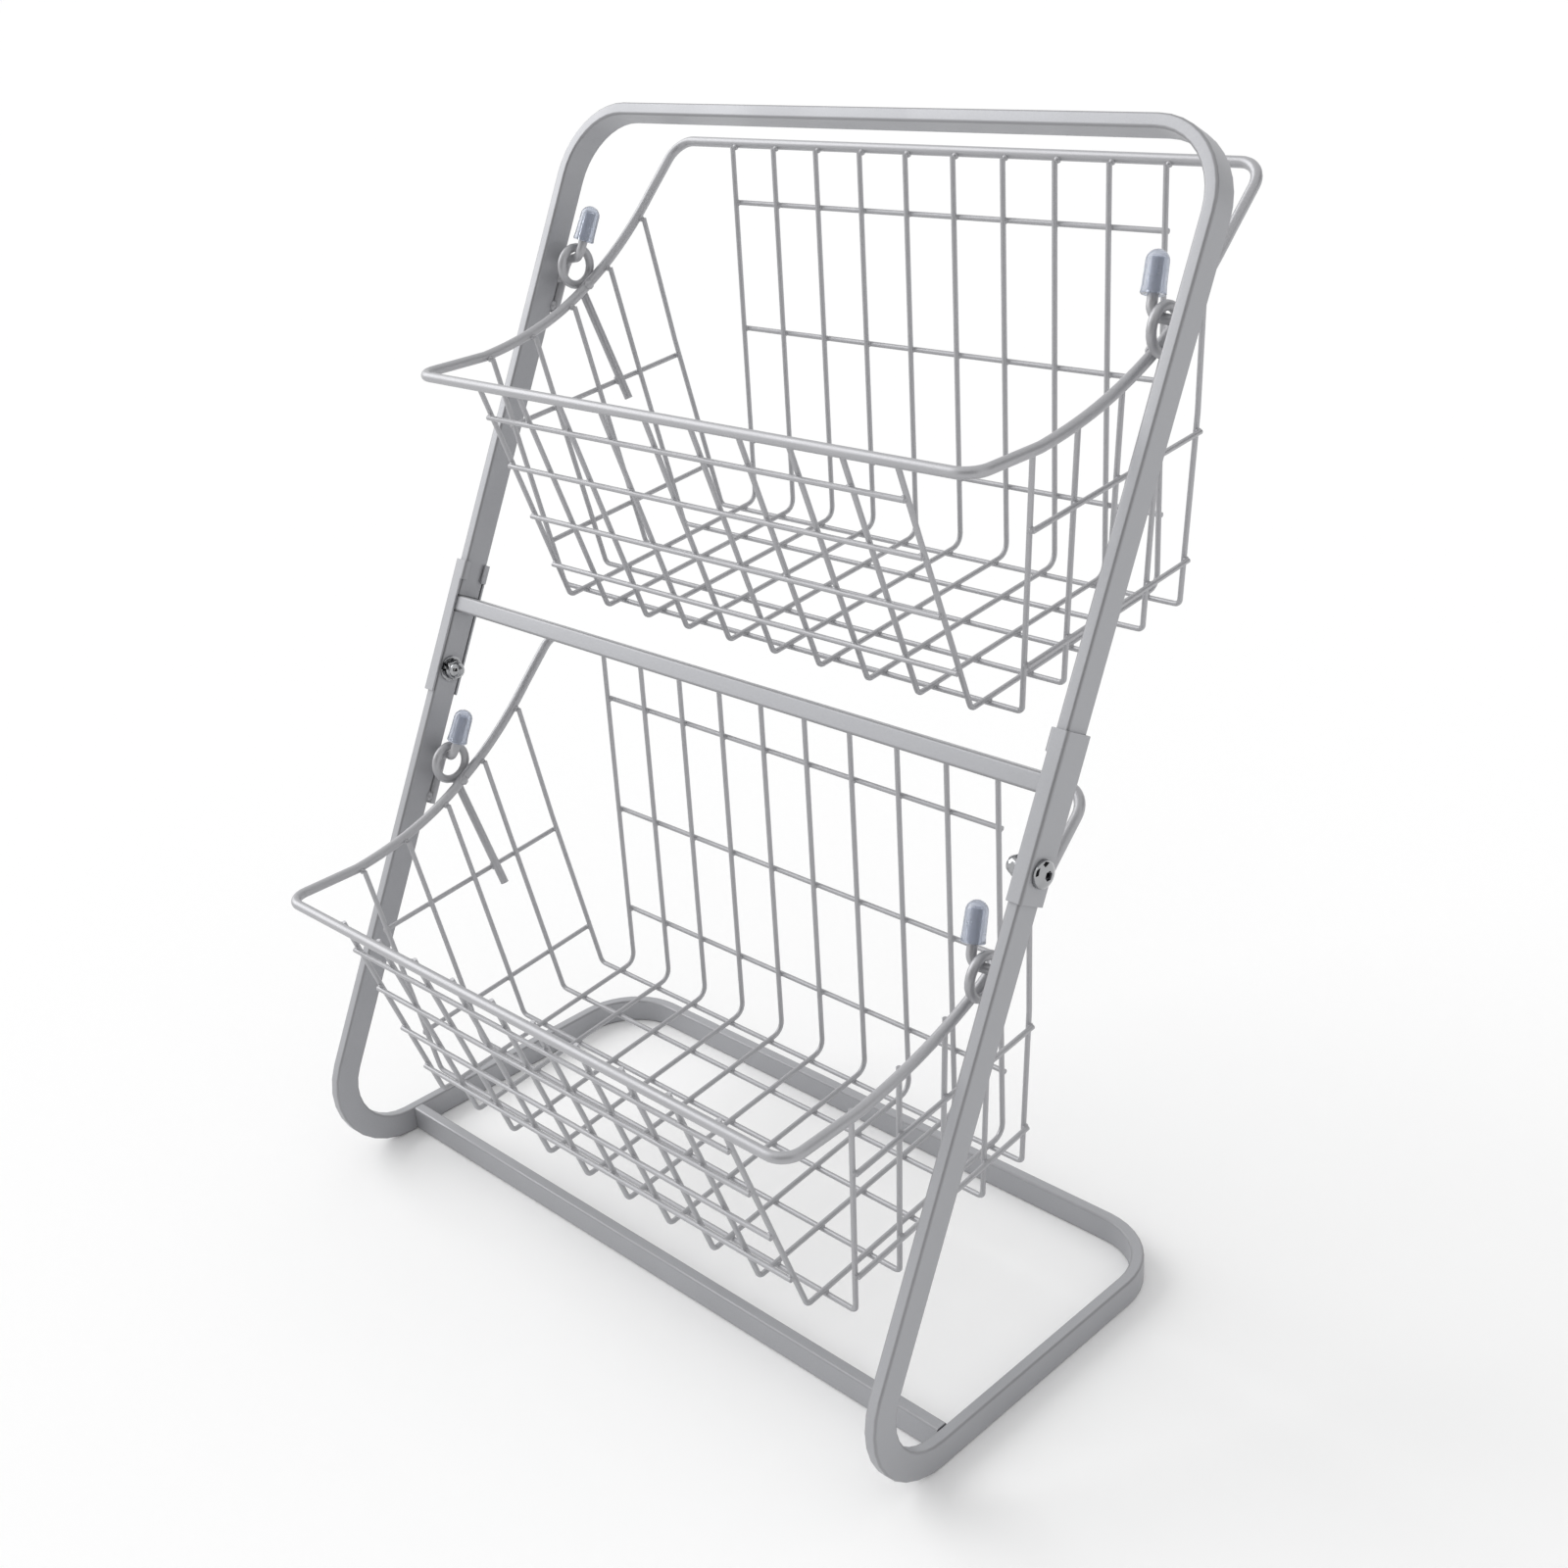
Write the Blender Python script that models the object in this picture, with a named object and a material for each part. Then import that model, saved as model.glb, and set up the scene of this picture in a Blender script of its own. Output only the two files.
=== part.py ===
"""Two-tier wire basket stand: a leaning tube frame that carries two hanging wire baskets.

Lengths are in metres and +Z is up. The origin is on the floor, under the middle of the base's
back rail. +X is to the right and +Y to the back, for someone who faces the baskets.
"""

import math

import bmesh
import bpy
from mathutils import Matrix, Vector

# Frame: one flat tube, bent on edge, for the uprights and the base, and one for the hoop.
FRAME_WIDTH = 0.400
FRAME_LEAN = math.radians(27.1)
BASE_DEPTH = 0.2415
TUBE_THIN = 0.0063
TUBE_DEEP = 0.0139
TUBE_WALL = 0.0010
TUBE_EDGE = 0.0010
HOOP_BEND = 0.038
FOOT_BEND = 0.042
BASE_BEND = 0.038
SEAT_GAP = 0.0003
HANG_GAP = 0.0006

# Rooms that set the frame's heights. Places along the lean are measured from the floor.
FLOOR_ROOM = 0.0580
TIER_ROOM = 0.0298
BAR_ROOM = 0.0147
TOP_ROOM = 0.04736
MIDDLE_BAR_HEIGHT = 0.0085
FRONT_BAR_INSET = 0.0030

# Channel sleeves that join the hoop to the uprights, and their fasteners.
SLEEVE_SHARE = 0.343
BOLT_SHARE = 0.547
SLEEVE_RISE = 0.0185
SLEEVE_WALL = 0.0012
LIP_LENGTH = 0.0100
LIP_WIDTH = 0.0026
LIP_ROOT = 0.0016
SHANK_RADIUS = 0.0030
HOLE_RADIUS = 0.0034
HEAD_RADIUS = 0.0062
HEAD_HEIGHT = 0.0036
HEAD_EDGE = 0.0009
SOCKET_RADIUS = 0.0022
SOCKET_DEPTH = 0.0018
WASHER_RADIUS = 0.0068
WASHER_THICKNESS = 0.0010
NUT_RADIUS = 0.0055
NUT_SKIRT = 0.0028
NUT_HEIGHT = 0.0075
NUT_WALL = 0.0015
SHANK_ENGAGEMENT = 0.0035

# Pegs that carry the baskets: a leg behind the upright, a run inwards and a capped tip.
PEG_WIRE = 0.0046
PEG_LEG = 0.0290
PEG_INSET = 0.0008
PEG_REACH = 0.0168
PEG_FORWARD = 0.0065
PEG_TIP = 0.0226
PEG_TIP_LEAN = math.radians(23.0)
PEG_TIP_SPLAY = math.radians(6.5)
PEG_BEND = 0.0052
RING_INSET = 0.0102
CAP_LENGTH = 0.0180
CAP_RADIUS = 0.0049
CAP_MOUTH_RADIUS = 0.0054
CAP_TOP_WALL = 0.0030
CAP_START = 0.0085

# Basket. Its own axes start at the front of the floor grid: y to the back, z up.
RIM_WIRE = 0.0050
GRID_WIRE = 0.0026
LENGTHWISE_COUNT = 10
LENGTHWISE_INSET = 0.0187
CROSSWISE_COUNT = 5
CROSSWISE_FRONT_INSET = 0.0112
CROSSWISE_BACK_INSET = 0.0090
FLOOR_DEPTH = 0.1370
SIDE_SLOPE = 0.157
FRONT_SLOPE = 0.216
BACK_SLOPE = 0.134
FRONT_RIM_HEIGHT = 0.1232
SIDE_RIM_HEIGHT = 0.1195
BACK_RIM_HEIGHT = 0.1877
SIDE_RISE_START = 0.0050
SIDE_RISE_POWER = 2.3
SIDE_TURN_HEIGHT = 0.1350
UPPER_SIDE_SLOPE = 0.036
SIDE_STRAIGHT_HEIGHT = 0.0920
SIDE_RIM_SHARES = (0.12, 0.28, 0.42, 0.55, 0.67, 0.79)
FRONT_RAIL_SHARES = (0.163, 0.397, 0.632, 0.851)
BACK_RAIL_SHARES = (0.178, 0.502, 0.847)
SIDE_RAIL_SHARES = (0.178, 0.699)
FRONT_FLOOR_BEND = 0.0030
SIDE_FLOOR_BEND = 0.0032
BACK_FLOOR_BEND = 0.0070
RIM_FRONT_BEND = 0.0095
RIM_BACK_BEND = 0.0115
RAIL_OVERHANG = 0.0004
WIRE_END_DROP = 0.0012
WELD_RADIUS = 0.0009
BASKET_TILT = math.radians(6.6)

# Hangers: a thick wire up each side wall with a ring at its top.
HANGER_WIRE = 0.0050
HANGER_TAIL = 0.0110
RING_RADIUS = 0.0095
RING_HEIGHT = 0.1435

# Facets of the bends and of the round pieces.
ARC_STEP = math.radians(20.0)
TIGHT_ARC_STEP = math.radians(36.0)
WIRE_SIDES = 6
THICK_WIRE_SIDES = 8
RING_STEPS = 20
LATHE_STEPS = 16

SIDES = (("left", -1), ("right", 1))
UPRIGHT_X = FRAME_WIDTH / 2 - TUBE_THIN / 2
INNER_FACE_X = FRAME_WIDTH / 2 - TUBE_THIN
PEG_LEG_X = INNER_FACE_X + PEG_INSET
FRONT_LINE_Y = TUBE_THIN / 2 - BASE_DEPTH
RIM_OFFSET = (RIM_WIRE + GRID_WIRE) / 2 + SEAT_GAP
RAIL_OFFSET = GRID_WIRE + SEAT_GAP
CROSSWISE_RUN = FLOOR_DEPTH - CROSSWISE_FRONT_INSET - CROSSWISE_BACK_INSET
CROSSWISE_SPACING = CROSSWISE_RUN / (CROSSWISE_COUNT - 1)
HANGER_PLACE = CROSSWISE_FRONT_INSET + CROSSWISE_SPACING * CROSSWISE_COUNT / 2


def clear_scene():
    for item in list(bpy.data.objects):
        bpy.data.objects.remove(item, do_unlink=True)


def make_material(name, colour, roughness, metallic, alpha=1.0):
    material = bpy.data.materials.new(name)
    material.use_nodes = True
    shader = material.node_tree.nodes["Principled BSDF"]
    shader.inputs["Base Color"].default_value = (*colour, 1.0)
    shader.inputs["Roughness"].default_value = roughness
    shader.inputs["Metallic"].default_value = metallic
    shader.inputs["Alpha"].default_value = alpha
    return material


def make_object(name, mesh, material, parent=None, matrix=None):
    item = bpy.data.objects.new(name, mesh)
    bpy.context.scene.collection.objects.link(item)
    if material and not mesh.materials:
        mesh.materials.append(material)
    item.parent = parent
    if matrix is not None:
        item.matrix_local = matrix
    return item


def make_empty(name, place, turn=0.0):
    empty = bpy.data.objects.new(name, None)
    bpy.context.scene.collection.objects.link(empty)
    empty.location = place
    empty.rotation_euler = (turn, 0.0, 0.0)
    return empty


def add_boolean(item, helper, operation):
    helper.hide_render = True
    helper.display_type = "WIRE"
    modifier = item.modifiers.new(helper.name, "BOOLEAN")
    modifier.operation = operation
    modifier.object = helper


def finish_mesh(bm, name, smooth_angle=math.radians(40.0)):
    bmesh.ops.recalc_face_normals(bm, faces=bm.faces)
    mesh = bpy.data.meshes.new(name)
    bm.to_mesh(mesh)
    bm.free()
    mesh.shade_smooth()
    mesh.set_sharp_from_angle(angle=smooth_angle)
    return mesh


def bridge(bm, rings, closed):
    """Join each ring of vertices to the next one with quads."""
    following = rings[1:] + rings[:1] if closed else rings[1:]
    for here, there in zip(rings, following):
        count = len(here)
        for i in range(count):
            j = (i + 1) % count
            bm.faces.new((here[i], here[j], there[j], there[i]))


def sweep(bm, stations, outline, closed=False, bore=None):
    """Carry an outline of (u, v) points along stations of (place, u axis, v axis)."""
    rings = [[bm.verts.new(place + u_axis * u + v_axis * v) for u, v in outline]
             for place, u_axis, v_axis in stations]
    bridge(bm, rings, closed)
    if bore:
        inner = [[bm.verts.new(place + u_axis * u + v_axis * v) for u, v in bore]
                 for place, u_axis, v_axis in stations]
        bridge(bm, inner, closed)
        for end in (0, -1):
            bridge(bm, [rings[end], inner[end]], False)
    elif not closed:
        bm.faces.new(rings[0])
        bm.faces.new(rings[-1])


def circle_outline(radius, sides):
    turns = [2 * math.pi * (i + 0.5) / sides for i in range(sides)]
    return [(radius * math.cos(turn), radius * math.sin(turn)) for turn in turns]


def cut_corner_outline(width, depth, edge):
    """A rectangle with its corners cut off at 45 degrees."""
    u, v = width / 2, depth / 2
    return [(u, v - edge), (u - edge, v), (edge - u, v), (-u, v - edge),
            (-u, edge - v), (edge - u, -v), (u - edge, -v), (u, edge - v)]


def tube_outlines():
    outer = cut_corner_outline(TUBE_THIN, TUBE_DEEP, TUBE_EDGE)
    inner = cut_corner_outline(TUBE_THIN - 2 * TUBE_WALL, TUBE_DEEP - 2 * TUBE_WALL, TUBE_EDGE / 2)
    return outer, inner


def rounded_path(corners, bends, step=TIGHT_ARC_STEP, closed=False):
    """The line through the corners, with an arc of each inner corner's bend radius."""
    if closed:
        rounds = list(zip(corners[-1:] + corners[:-1], corners, corners[1:] + corners[:1], bends))
        path = []
    else:
        rounds = list(zip(corners, corners[1:], corners[2:], bends))
        path = [corners[0]]
    for before, corner, after, bend in rounds:
        if bend == 0.0:
            path.append(corner)
            continue
        back = (before - corner).normalized()
        ahead = (after - corner).normalized()
        half = back.angle(ahead) / 2
        centre = corner + (back + ahead).normalized() * bend / math.sin(half)
        start = (corner + back * bend / math.tan(half) - centre).normalized()
        end = (corner + ahead * bend / math.tan(half) - centre).normalized()
        steps = max(2, math.ceil((math.pi - 2 * half) / step))
        path += [centre + start.slerp(end, i / steps) * bend for i in range(steps + 1)]
    return path if closed else path + [corners[-1]]


def wire_stations(path, hint=None, closed=False):
    """Places and section axes along a path, turned as little as possible or kept to a hint."""
    stations = []
    count = len(path)
    side = hint
    for i, place in enumerate(path):
        before = path[i - 1] if closed or i > 0 else place
        after = path[(i + 1) % count] if closed or i < count - 1 else place
        along = ((place - before).normalized() + (after - place).normalized()).normalized()
        if side is None:
            side = along.orthogonal()
        u_axis = (side - along * side.dot(along)).normalized()
        stations.append((place, u_axis, along.cross(u_axis)))
        if hint is None:
            side = u_axis
    return stations


def add_wire(bm, path, diameter, sides, hint=None, closed=False):
    outline = circle_outline(diameter / 2, sides)
    sweep(bm, wire_stations(path, hint, closed), outline, closed)


def wire_mesh(name, path, diameter, sides, hint=None, closed=False):
    bm = bmesh.new()
    add_wire(bm, path, diameter, sides, hint, closed)
    return finish_mesh(bm, name)


def lathe_mesh(name, profile, closed=False):
    """Turn a profile of (radius, height) points about Z; a closed profile makes a ring."""
    bm = bmesh.new()
    turns = [2 * math.pi * i / LATHE_STEPS for i in range(LATHE_STEPS)]
    rings = []
    for radius, height in profile:
        if radius == 0.0:
            rings.append([bm.verts.new((0.0, 0.0, height))])
        else:
            rings.append([bm.verts.new((radius * math.cos(turn), radius * math.sin(turn), height))
                          for turn in turns])
    following = rings[1:] + rings[:1] if closed else rings[1:]
    for here, there in zip(rings, following):
        for i in range(LATHE_STEPS):
            j = (i + 1) % LATHE_STEPS
            corners = [here[i % len(here)], here[j % len(here)],
                       there[j % len(there)], there[i % len(there)]]
            bm.faces.new(list(dict.fromkeys(corners)))
    return finish_mesh(bm, name, math.radians(30.0))


def dome_points(radius, start_height, rise, steps):
    """An elliptic dome's profile from its rim up to the axis."""
    turns = [math.pi / 2 * i / steps for i in range(steps)]
    points = [(radius * math.cos(turn), start_height + rise * math.sin(turn)) for turn in turns]
    return points + [(0.0, start_height + rise)]


def lean_place(x, behind, along):
    """A place given in the leaning frame, measured from where its front line meets the floor."""
    y = FRONT_LINE_Y + along * math.sin(FRAME_LEAN) + behind * math.cos(FRAME_LEAN)
    z = along * math.cos(FRAME_LEAN) - behind * math.sin(FRAME_LEAN)
    return Vector((x, y, z))


def peg_leg_behind():
    return TUBE_DEEP + SEAT_GAP + PEG_WIRE / 2


def hinge_behind():
    """How far behind the frame's front the rings hang on the pegs' sloping runs."""
    return peg_leg_behind() - PEG_FORWARD * (RING_INSET + PEG_INSET) / PEG_REACH


def hinge_in_basket():
    """The peg's axis in the basket's axes: a gap under the top of the hanging ring."""
    rise = RING_RADIUS - (PEG_WIRE + HANGER_WIRE) / 2 - HANG_GAP
    return Vector((0.0, HANGER_PLACE + rise * math.sin(BASKET_TILT),
                   RING_HEIGHT + rise * math.cos(BASKET_TILT)))


def basket_drop():
    """The lowest front corner of the hanging grid, from the hinge: how far forward and down."""
    hinge = hinge_in_basket()
    down = hinge.z + GRID_WIRE / 2
    forward = hinge.y * math.cos(BASKET_TILT) - down * math.sin(BASKET_TILT)
    return forward, hinge.y * math.sin(BASKET_TILT) + down * math.cos(BASKET_TILT)


def lower_peg_along():
    """The lower pegs' place, which leaves the lower basket its room over the floor."""
    height = FLOOR_ROOM + basket_drop()[1] + hinge_behind() * math.sin(FRAME_LEAN)
    return height / math.cos(FRAME_LEAN)


def upper_peg_along():
    """The upper pegs' place, which leaves the lower basket's back rim its room."""
    rise = BACK_RIM_HEIGHT + RIM_WIRE / 2 + TIER_ROOM + RAIL_OFFSET + GRID_WIRE / 2
    return lower_peg_along() + rise / math.cos(FRAME_LEAN + BASKET_TILT)


def middle_bar_top():
    """The bar's top, which leaves the upper basket's front corner its room."""
    forward, down = basket_drop()
    drop = forward * math.sin(FRAME_LEAN) + down * math.cos(FRAME_LEAN)
    return upper_peg_along() - drop - BAR_ROOM


def middle_bar_along():
    return middle_bar_top() - MIDDLE_BAR_HEIGHT


def ring_to_bar_along(share):
    """A place between the tops of the lower rings and the middle bar."""
    ring_top = lower_peg_along() + PEG_WIRE / 2 + HANG_GAP + HANGER_WIRE
    return ring_top + (middle_bar_along() - ring_top) * share


def sleeve_span():
    return ring_to_bar_along(SLEEVE_SHARE), middle_bar_top() + SLEEVE_RISE


def bolt_along():
    return ring_to_bar_along(BOLT_SHARE)


def hoop_reach():
    """The hoop's top, which leaves room to lift the upper rings over the caps."""
    cap_top = upper_peg_along() + (CAP_START + CAP_LENGTH) * math.cos(PEG_TIP_LEAN)
    return cap_top + TOP_ROOM + TUBE_THIN


def foot_reach():
    return FOOT_BEND * math.tan((math.pi / 2 + FRAME_LEAN) / 2)


def arc_turns(start, end):
    steps = math.ceil(abs(end - start) / ARC_STEP)
    return [start + (end - start) * i / steps for i in range(steps + 1)]


# Frame pieces

def lower_frame_mesh():
    """Both uprights and the base loop as one bent tube, open at the uprights' top ends."""
    top = middle_bar_along() - SEAT_GAP
    half_deep = TUBE_DEEP / 2
    foot_centre = Vector((0.0, FRONT_LINE_Y + foot_reach(), FOOT_BEND))
    right = Vector((UPRIGHT_X, 0.0, 0.0))
    out = Vector((1.0, 0.0, 0.0))
    facing = Vector((0.0, -math.cos(FRAME_LEAN), math.sin(FRAME_LEAN)))
    half = [(lean_place(UPRIGHT_X, half_deep, top), out, facing)]
    for turn in arc_turns(math.pi - FRAME_LEAN, 1.5 * math.pi):
        radial = Vector((0.0, math.cos(turn), math.sin(turn)))
        half.append((foot_centre + right + radial * (FOOT_BEND - half_deep), out, radial))
    corner_centre = Vector((FRAME_WIDTH / 2 - BASE_BEND, TUBE_THIN / 2 - BASE_BEND, half_deep))
    down = Vector((0.0, 0.0, -1.0))
    for turn in arc_turns(0.0, math.pi / 2):
        radial = Vector((math.cos(turn), math.sin(turn), 0.0))
        half.append((corner_centre + radial * (BASE_BEND - TUBE_THIN / 2), radial, down))
    mirror = Matrix.Scale(-1.0, 3, out)
    other = [(mirror @ place, mirror @ u_axis, v_axis) for place, u_axis, v_axis in reversed(half)]
    bm = bmesh.new()
    outer, inner = tube_outlines()
    sweep(bm, half + other, outer, bore=inner)
    return finish_mesh(bm, "lower_frame")


def hoop_mesh():
    """The upper hoop in the leaning frame: two legs and a top bar, open at the legs' ends."""
    foot = middle_bar_top() + SEAT_GAP
    behind = TUBE_DEEP / 2
    facing = Vector((0.0, -1.0, 0.0))
    out = Vector((1.0, 0.0, 0.0))
    half = [(Vector((UPRIGHT_X, behind, foot)), out, facing)]
    centre = Vector((FRAME_WIDTH / 2 - HOOP_BEND, behind, hoop_reach() - HOOP_BEND))
    for turn in arc_turns(0.0, math.pi / 2):
        radial = Vector((math.cos(turn), 0.0, math.sin(turn)))
        half.append((centre + radial * (HOOP_BEND - TUBE_THIN / 2), radial, facing))
    mirror = Matrix.Scale(-1.0, 3, out)
    other = [(mirror @ place, mirror @ u_axis, v_axis) for place, u_axis, v_axis in reversed(half)]
    bm = bmesh.new()
    outer, inner = tube_outlines()
    sweep(bm, half + other, outer, bore=inner)
    return finish_mesh(bm, "hoop")


def box_tube_mesh(name, half_length, width, depth):
    """A straight tube along X, open at both ends."""
    bm = bmesh.new()
    across = Vector((0.0, 1.0, 0.0))
    up = Vector((0.0, 0.0, 1.0))
    stations = [(Vector((side * half_length, 0.0, 0.0)), across, up) for side in (-1, 1)]
    bore = cut_corner_outline(width - 2 * TUBE_WALL, depth - 2 * TUBE_WALL, TUBE_EDGE / 2)
    sweep(bm, stations, cut_corner_outline(width, depth, TUBE_EDGE), bore=bore)
    return finish_mesh(bm, name)


def box_mesh(name, low, high):
    bm = bmesh.new()
    stations = [(Vector((0.0, 0.0, z)), Vector((1.0, 0.0, 0.0)), Vector((0.0, 1.0, 0.0)))
                for z in (low.z, high.z)]
    sweep(bm, stations, [(low.x, low.y), (high.x, low.y), (high.x, high.y), (low.x, high.y)])
    return finish_mesh(bm, name)


def sleeve_mesh(side):
    """A channel around the upright's outer, front and back faces."""
    web_in = FRAME_WIDTH / 2 + SEAT_GAP
    web_out = web_in + SLEEVE_WALL
    front_in = -SEAT_GAP
    front_out = front_in - SLEEVE_WALL
    back_in = TUBE_DEEP + SEAT_GAP
    back_out = back_in + SLEEVE_WALL
    edge = INNER_FACE_X
    outline = [(edge, front_out), (web_out, front_out), (web_out, back_out), (edge, back_out),
               (edge, back_in), (web_in, back_in), (web_in, front_in), (edge, front_in)]
    bm = bmesh.new()
    stations = [(Vector((0.0, 0.0, along)), Vector((side, 0.0, 0.0)), Vector((0.0, 1.0, 0.0)))
                for along in sleeve_span()]
    sweep(bm, stations, outline)
    return finish_mesh(bm, "sleeve")


def add_lips(sleeve, side, name, parent):
    """Two short lips at the sleeve's top that hold the hoop's leg in its channel."""
    lip_out = INNER_FACE_X - SEAT_GAP
    lip_in = lip_out - SLEEVE_WALL
    top = sleeve_span()[1]
    front = -SEAT_GAP - SLEEVE_WALL
    back = TUBE_DEEP + SEAT_GAP + SLEEVE_WALL
    spans = (("front_lip", front, LIP_WIDTH, -SEAT_GAP),
             ("back_lip", back, TUBE_DEEP - LIP_WIDTH, TUBE_DEEP + SEAT_GAP))
    for label, face, tip, inside in spans:
        plate_low = Vector((min(side * lip_in, side * lip_out), min(face, tip), top - LIP_LENGTH))
        plate_high = Vector((max(side * lip_in, side * lip_out), max(face, tip), top))
        plate = make_object(f"{name}_{label}", box_mesh(label, plate_low, plate_high), None, parent)
        reach = INNER_FACE_X + LIP_ROOT
        foot_low = Vector((min(side * lip_in, side * reach), min(face, inside), top - LIP_LENGTH))
        foot_high = Vector((max(side * lip_in, side * reach), max(face, inside), top))
        foot = make_object(f"{name}_{label}_foot", box_mesh(label, foot_low, foot_high), None, parent)
        add_boolean(sleeve, foot, "UNION")
        add_boolean(sleeve, plate, "UNION")


def bolt_mesh():
    """A dome-head screw along Z: its head stands on z = 0 and its shank points down."""
    shank = FRAME_WIDTH / 2 + SEAT_GAP + SLEEVE_WALL + SEAT_GAP - INNER_FACE_X
    shank += SEAT_GAP + WASHER_THICKNESS + SEAT_GAP + SHANK_ENGAGEMENT
    dome = dome_points(HEAD_RADIUS, HEAD_EDGE, HEAD_HEIGHT - HEAD_EDGE, 4)
    socket = [point for point in dome if point[0] > SOCKET_RADIUS]
    socket += [(SOCKET_RADIUS, HEAD_HEIGHT), (SOCKET_RADIUS, HEAD_HEIGHT - SOCKET_DEPTH),
               (0.0, HEAD_HEIGHT - SOCKET_DEPTH)]
    profile = [(0.0, -shank), (SHANK_RADIUS, -shank), (SHANK_RADIUS, 0.0), (HEAD_RADIUS, 0.0)]
    return lathe_mesh("bolt", profile + socket)


def washer_mesh():
    profile = [(HOLE_RADIUS, 0.0), (WASHER_RADIUS, 0.0), (WASHER_RADIUS, WASHER_THICKNESS),
               (HOLE_RADIUS, WASHER_THICKNESS)]
    return lathe_mesh("washer", profile, closed=True)


def nut_mesh():
    """A domed nut along Z with a blind bore from z = 0."""
    bore_depth = NUT_HEIGHT - NUT_WALL
    profile = [(0.0, bore_depth), (HOLE_RADIUS, bore_depth), (HOLE_RADIUS, 0.0), (NUT_RADIUS, 0.0)]
    return lathe_mesh("nut", profile + dome_points(NUT_RADIUS, NUT_SKIRT, NUT_HEIGHT - NUT_SKIRT, 5))


def hole_cutter(name, side, parent):
    """A cylinder through the upright and the sleeve at the bolt's place."""
    bm = bmesh.new()
    axes = (Vector((0.0, 1.0, 0.0)), Vector((0.0, 0.0, 1.0)))
    centre = Vector((side * UPRIGHT_X, TUBE_DEEP / 2, bolt_along()))
    stations = [(centre + Vector((x, 0.0, 0.0)), *axes) for x in (-TUBE_THIN, TUBE_THIN)]
    sweep(bm, stations, circle_outline(HOLE_RADIUS, LATHE_STEPS))
    return make_object(name, finish_mesh(bm, name), None, parent)


def fastener_matrix(side, x, inwards):
    """Stand a turned fastener on its face, pointing outwards or inwards."""
    towards = -side if inwards else side
    place = Matrix.Translation((side * x, TUBE_DEEP / 2, bolt_along()))
    return place @ Matrix.Rotation(towards * math.pi / 2, 4, "Y")


def peg_corners(side, along):
    """The peg's corners in the leaning frame: leg, run and tip."""
    behind = peg_leg_behind()
    tip_x = PEG_LEG_X - PEG_REACH
    tip_turn = FRAME_LEAN - PEG_TIP_LEAN
    run_end = Vector((side * tip_x, behind - PEG_FORWARD, along))
    upwards = Vector((0.0, -math.sin(tip_turn), math.cos(tip_turn))) * math.cos(PEG_TIP_SPLAY)
    tip = run_end + (upwards - Vector((side * math.sin(PEG_TIP_SPLAY), 0.0, 0.0))) * PEG_TIP
    return [Vector((side * PEG_LEG_X, behind, along - PEG_LEG)),
            Vector((side * PEG_LEG_X, behind, along)), run_end, tip]


def cap_mesh():
    """A soft sleeve closed by a dome, along Z with its mouth at z = 0."""
    bore = PEG_WIRE / 2 + SEAT_GAP
    dome_rise = CAP_RADIUS
    profile = [(0.0, CAP_LENGTH - CAP_TOP_WALL), (bore, CAP_LENGTH - CAP_TOP_WALL), (bore, 0.0),
               (CAP_MOUTH_RADIUS, 0.0)]
    return lathe_mesh("cap", profile + dome_points(CAP_RADIUS, CAP_LENGTH - dome_rise, dome_rise, 5))


# Basket pieces, in the basket's own axes

def side_rim_height(y):
    back = back_wall_y(BACK_RIM_HEIGHT)
    share = max(0.0, (y - SIDE_RISE_START) / (back - SIDE_RISE_START))
    return SIDE_RIM_HEIGHT + (BACK_RIM_HEIGHT - SIDE_RIM_HEIGHT) * share ** SIDE_RISE_POWER


def side_turn_in(z):
    """How far the side has turned in from its plane where it rises steeper to the back."""
    return max(0.0, z - SIDE_TURN_HEIGHT) * (SIDE_SLOPE - UPPER_SIDE_SLOPE)


def rim_reach(z):
    """How far the rim's side lies beyond the floor's edge at the given height."""
    return SIDE_SLOPE * z - side_turn_in(z) + offset_along(SIDE_SLOPE, RIM_OFFSET)


def hanger_line():
    """The stem's start and way in x and z, from the floor's edge: past the rim and the top rail."""
    rail_z = SIDE_RAIL_SHARES[-1] * SIDE_RIM_HEIGHT
    rail_out = Vector((1.0, -SIDE_SLOPE)).normalized()
    rail = Vector((SIDE_SLOPE * rail_z, rail_z)) + rail_out * RAIL_OFFSET
    rim_z = side_rim_height(HANGER_PLACE)
    rim = Vector((rim_reach(rim_z), rim_z))
    past_rail = (GRID_WIRE + HANGER_WIRE) / 2 + SEAT_GAP
    past_rim = (RIM_WIRE + HANGER_WIRE) / 2 + SEAT_GAP
    span = rim - rail
    lean = math.atan2(span.x, span.y) + math.asin((past_rail + past_rim) / span.length)
    out = Vector((math.cos(lean), -math.sin(lean)))
    return rail - out * past_rail, Vector((math.sin(lean), math.cos(lean)))


def ring_reach():
    """How far the ring lies beyond the floor's edge: it stands on the stem's upper end."""
    start, direction = hanger_line()
    return start.x + direction.x * (RING_HEIGHT - RING_RADIUS - start.y) / direction.y


def floor_half_width():
    """Half the floor, as wide as the frame leaves it with the rings on their pegs."""
    return INNER_FACE_X - RING_INSET - ring_reach()


def side_wall_x(z):
    return floor_half_width() + SIDE_SLOPE * z


def back_wall_y(z):
    return FLOOR_DEPTH + BACK_SLOPE * z


def offset_along(slope, distance):
    """How far a wall line moves sideways for a square offset of the given distance."""
    return distance * math.hypot(1.0, slope)


def rim_x(z):
    return floor_half_width() + rim_reach(z)


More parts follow.
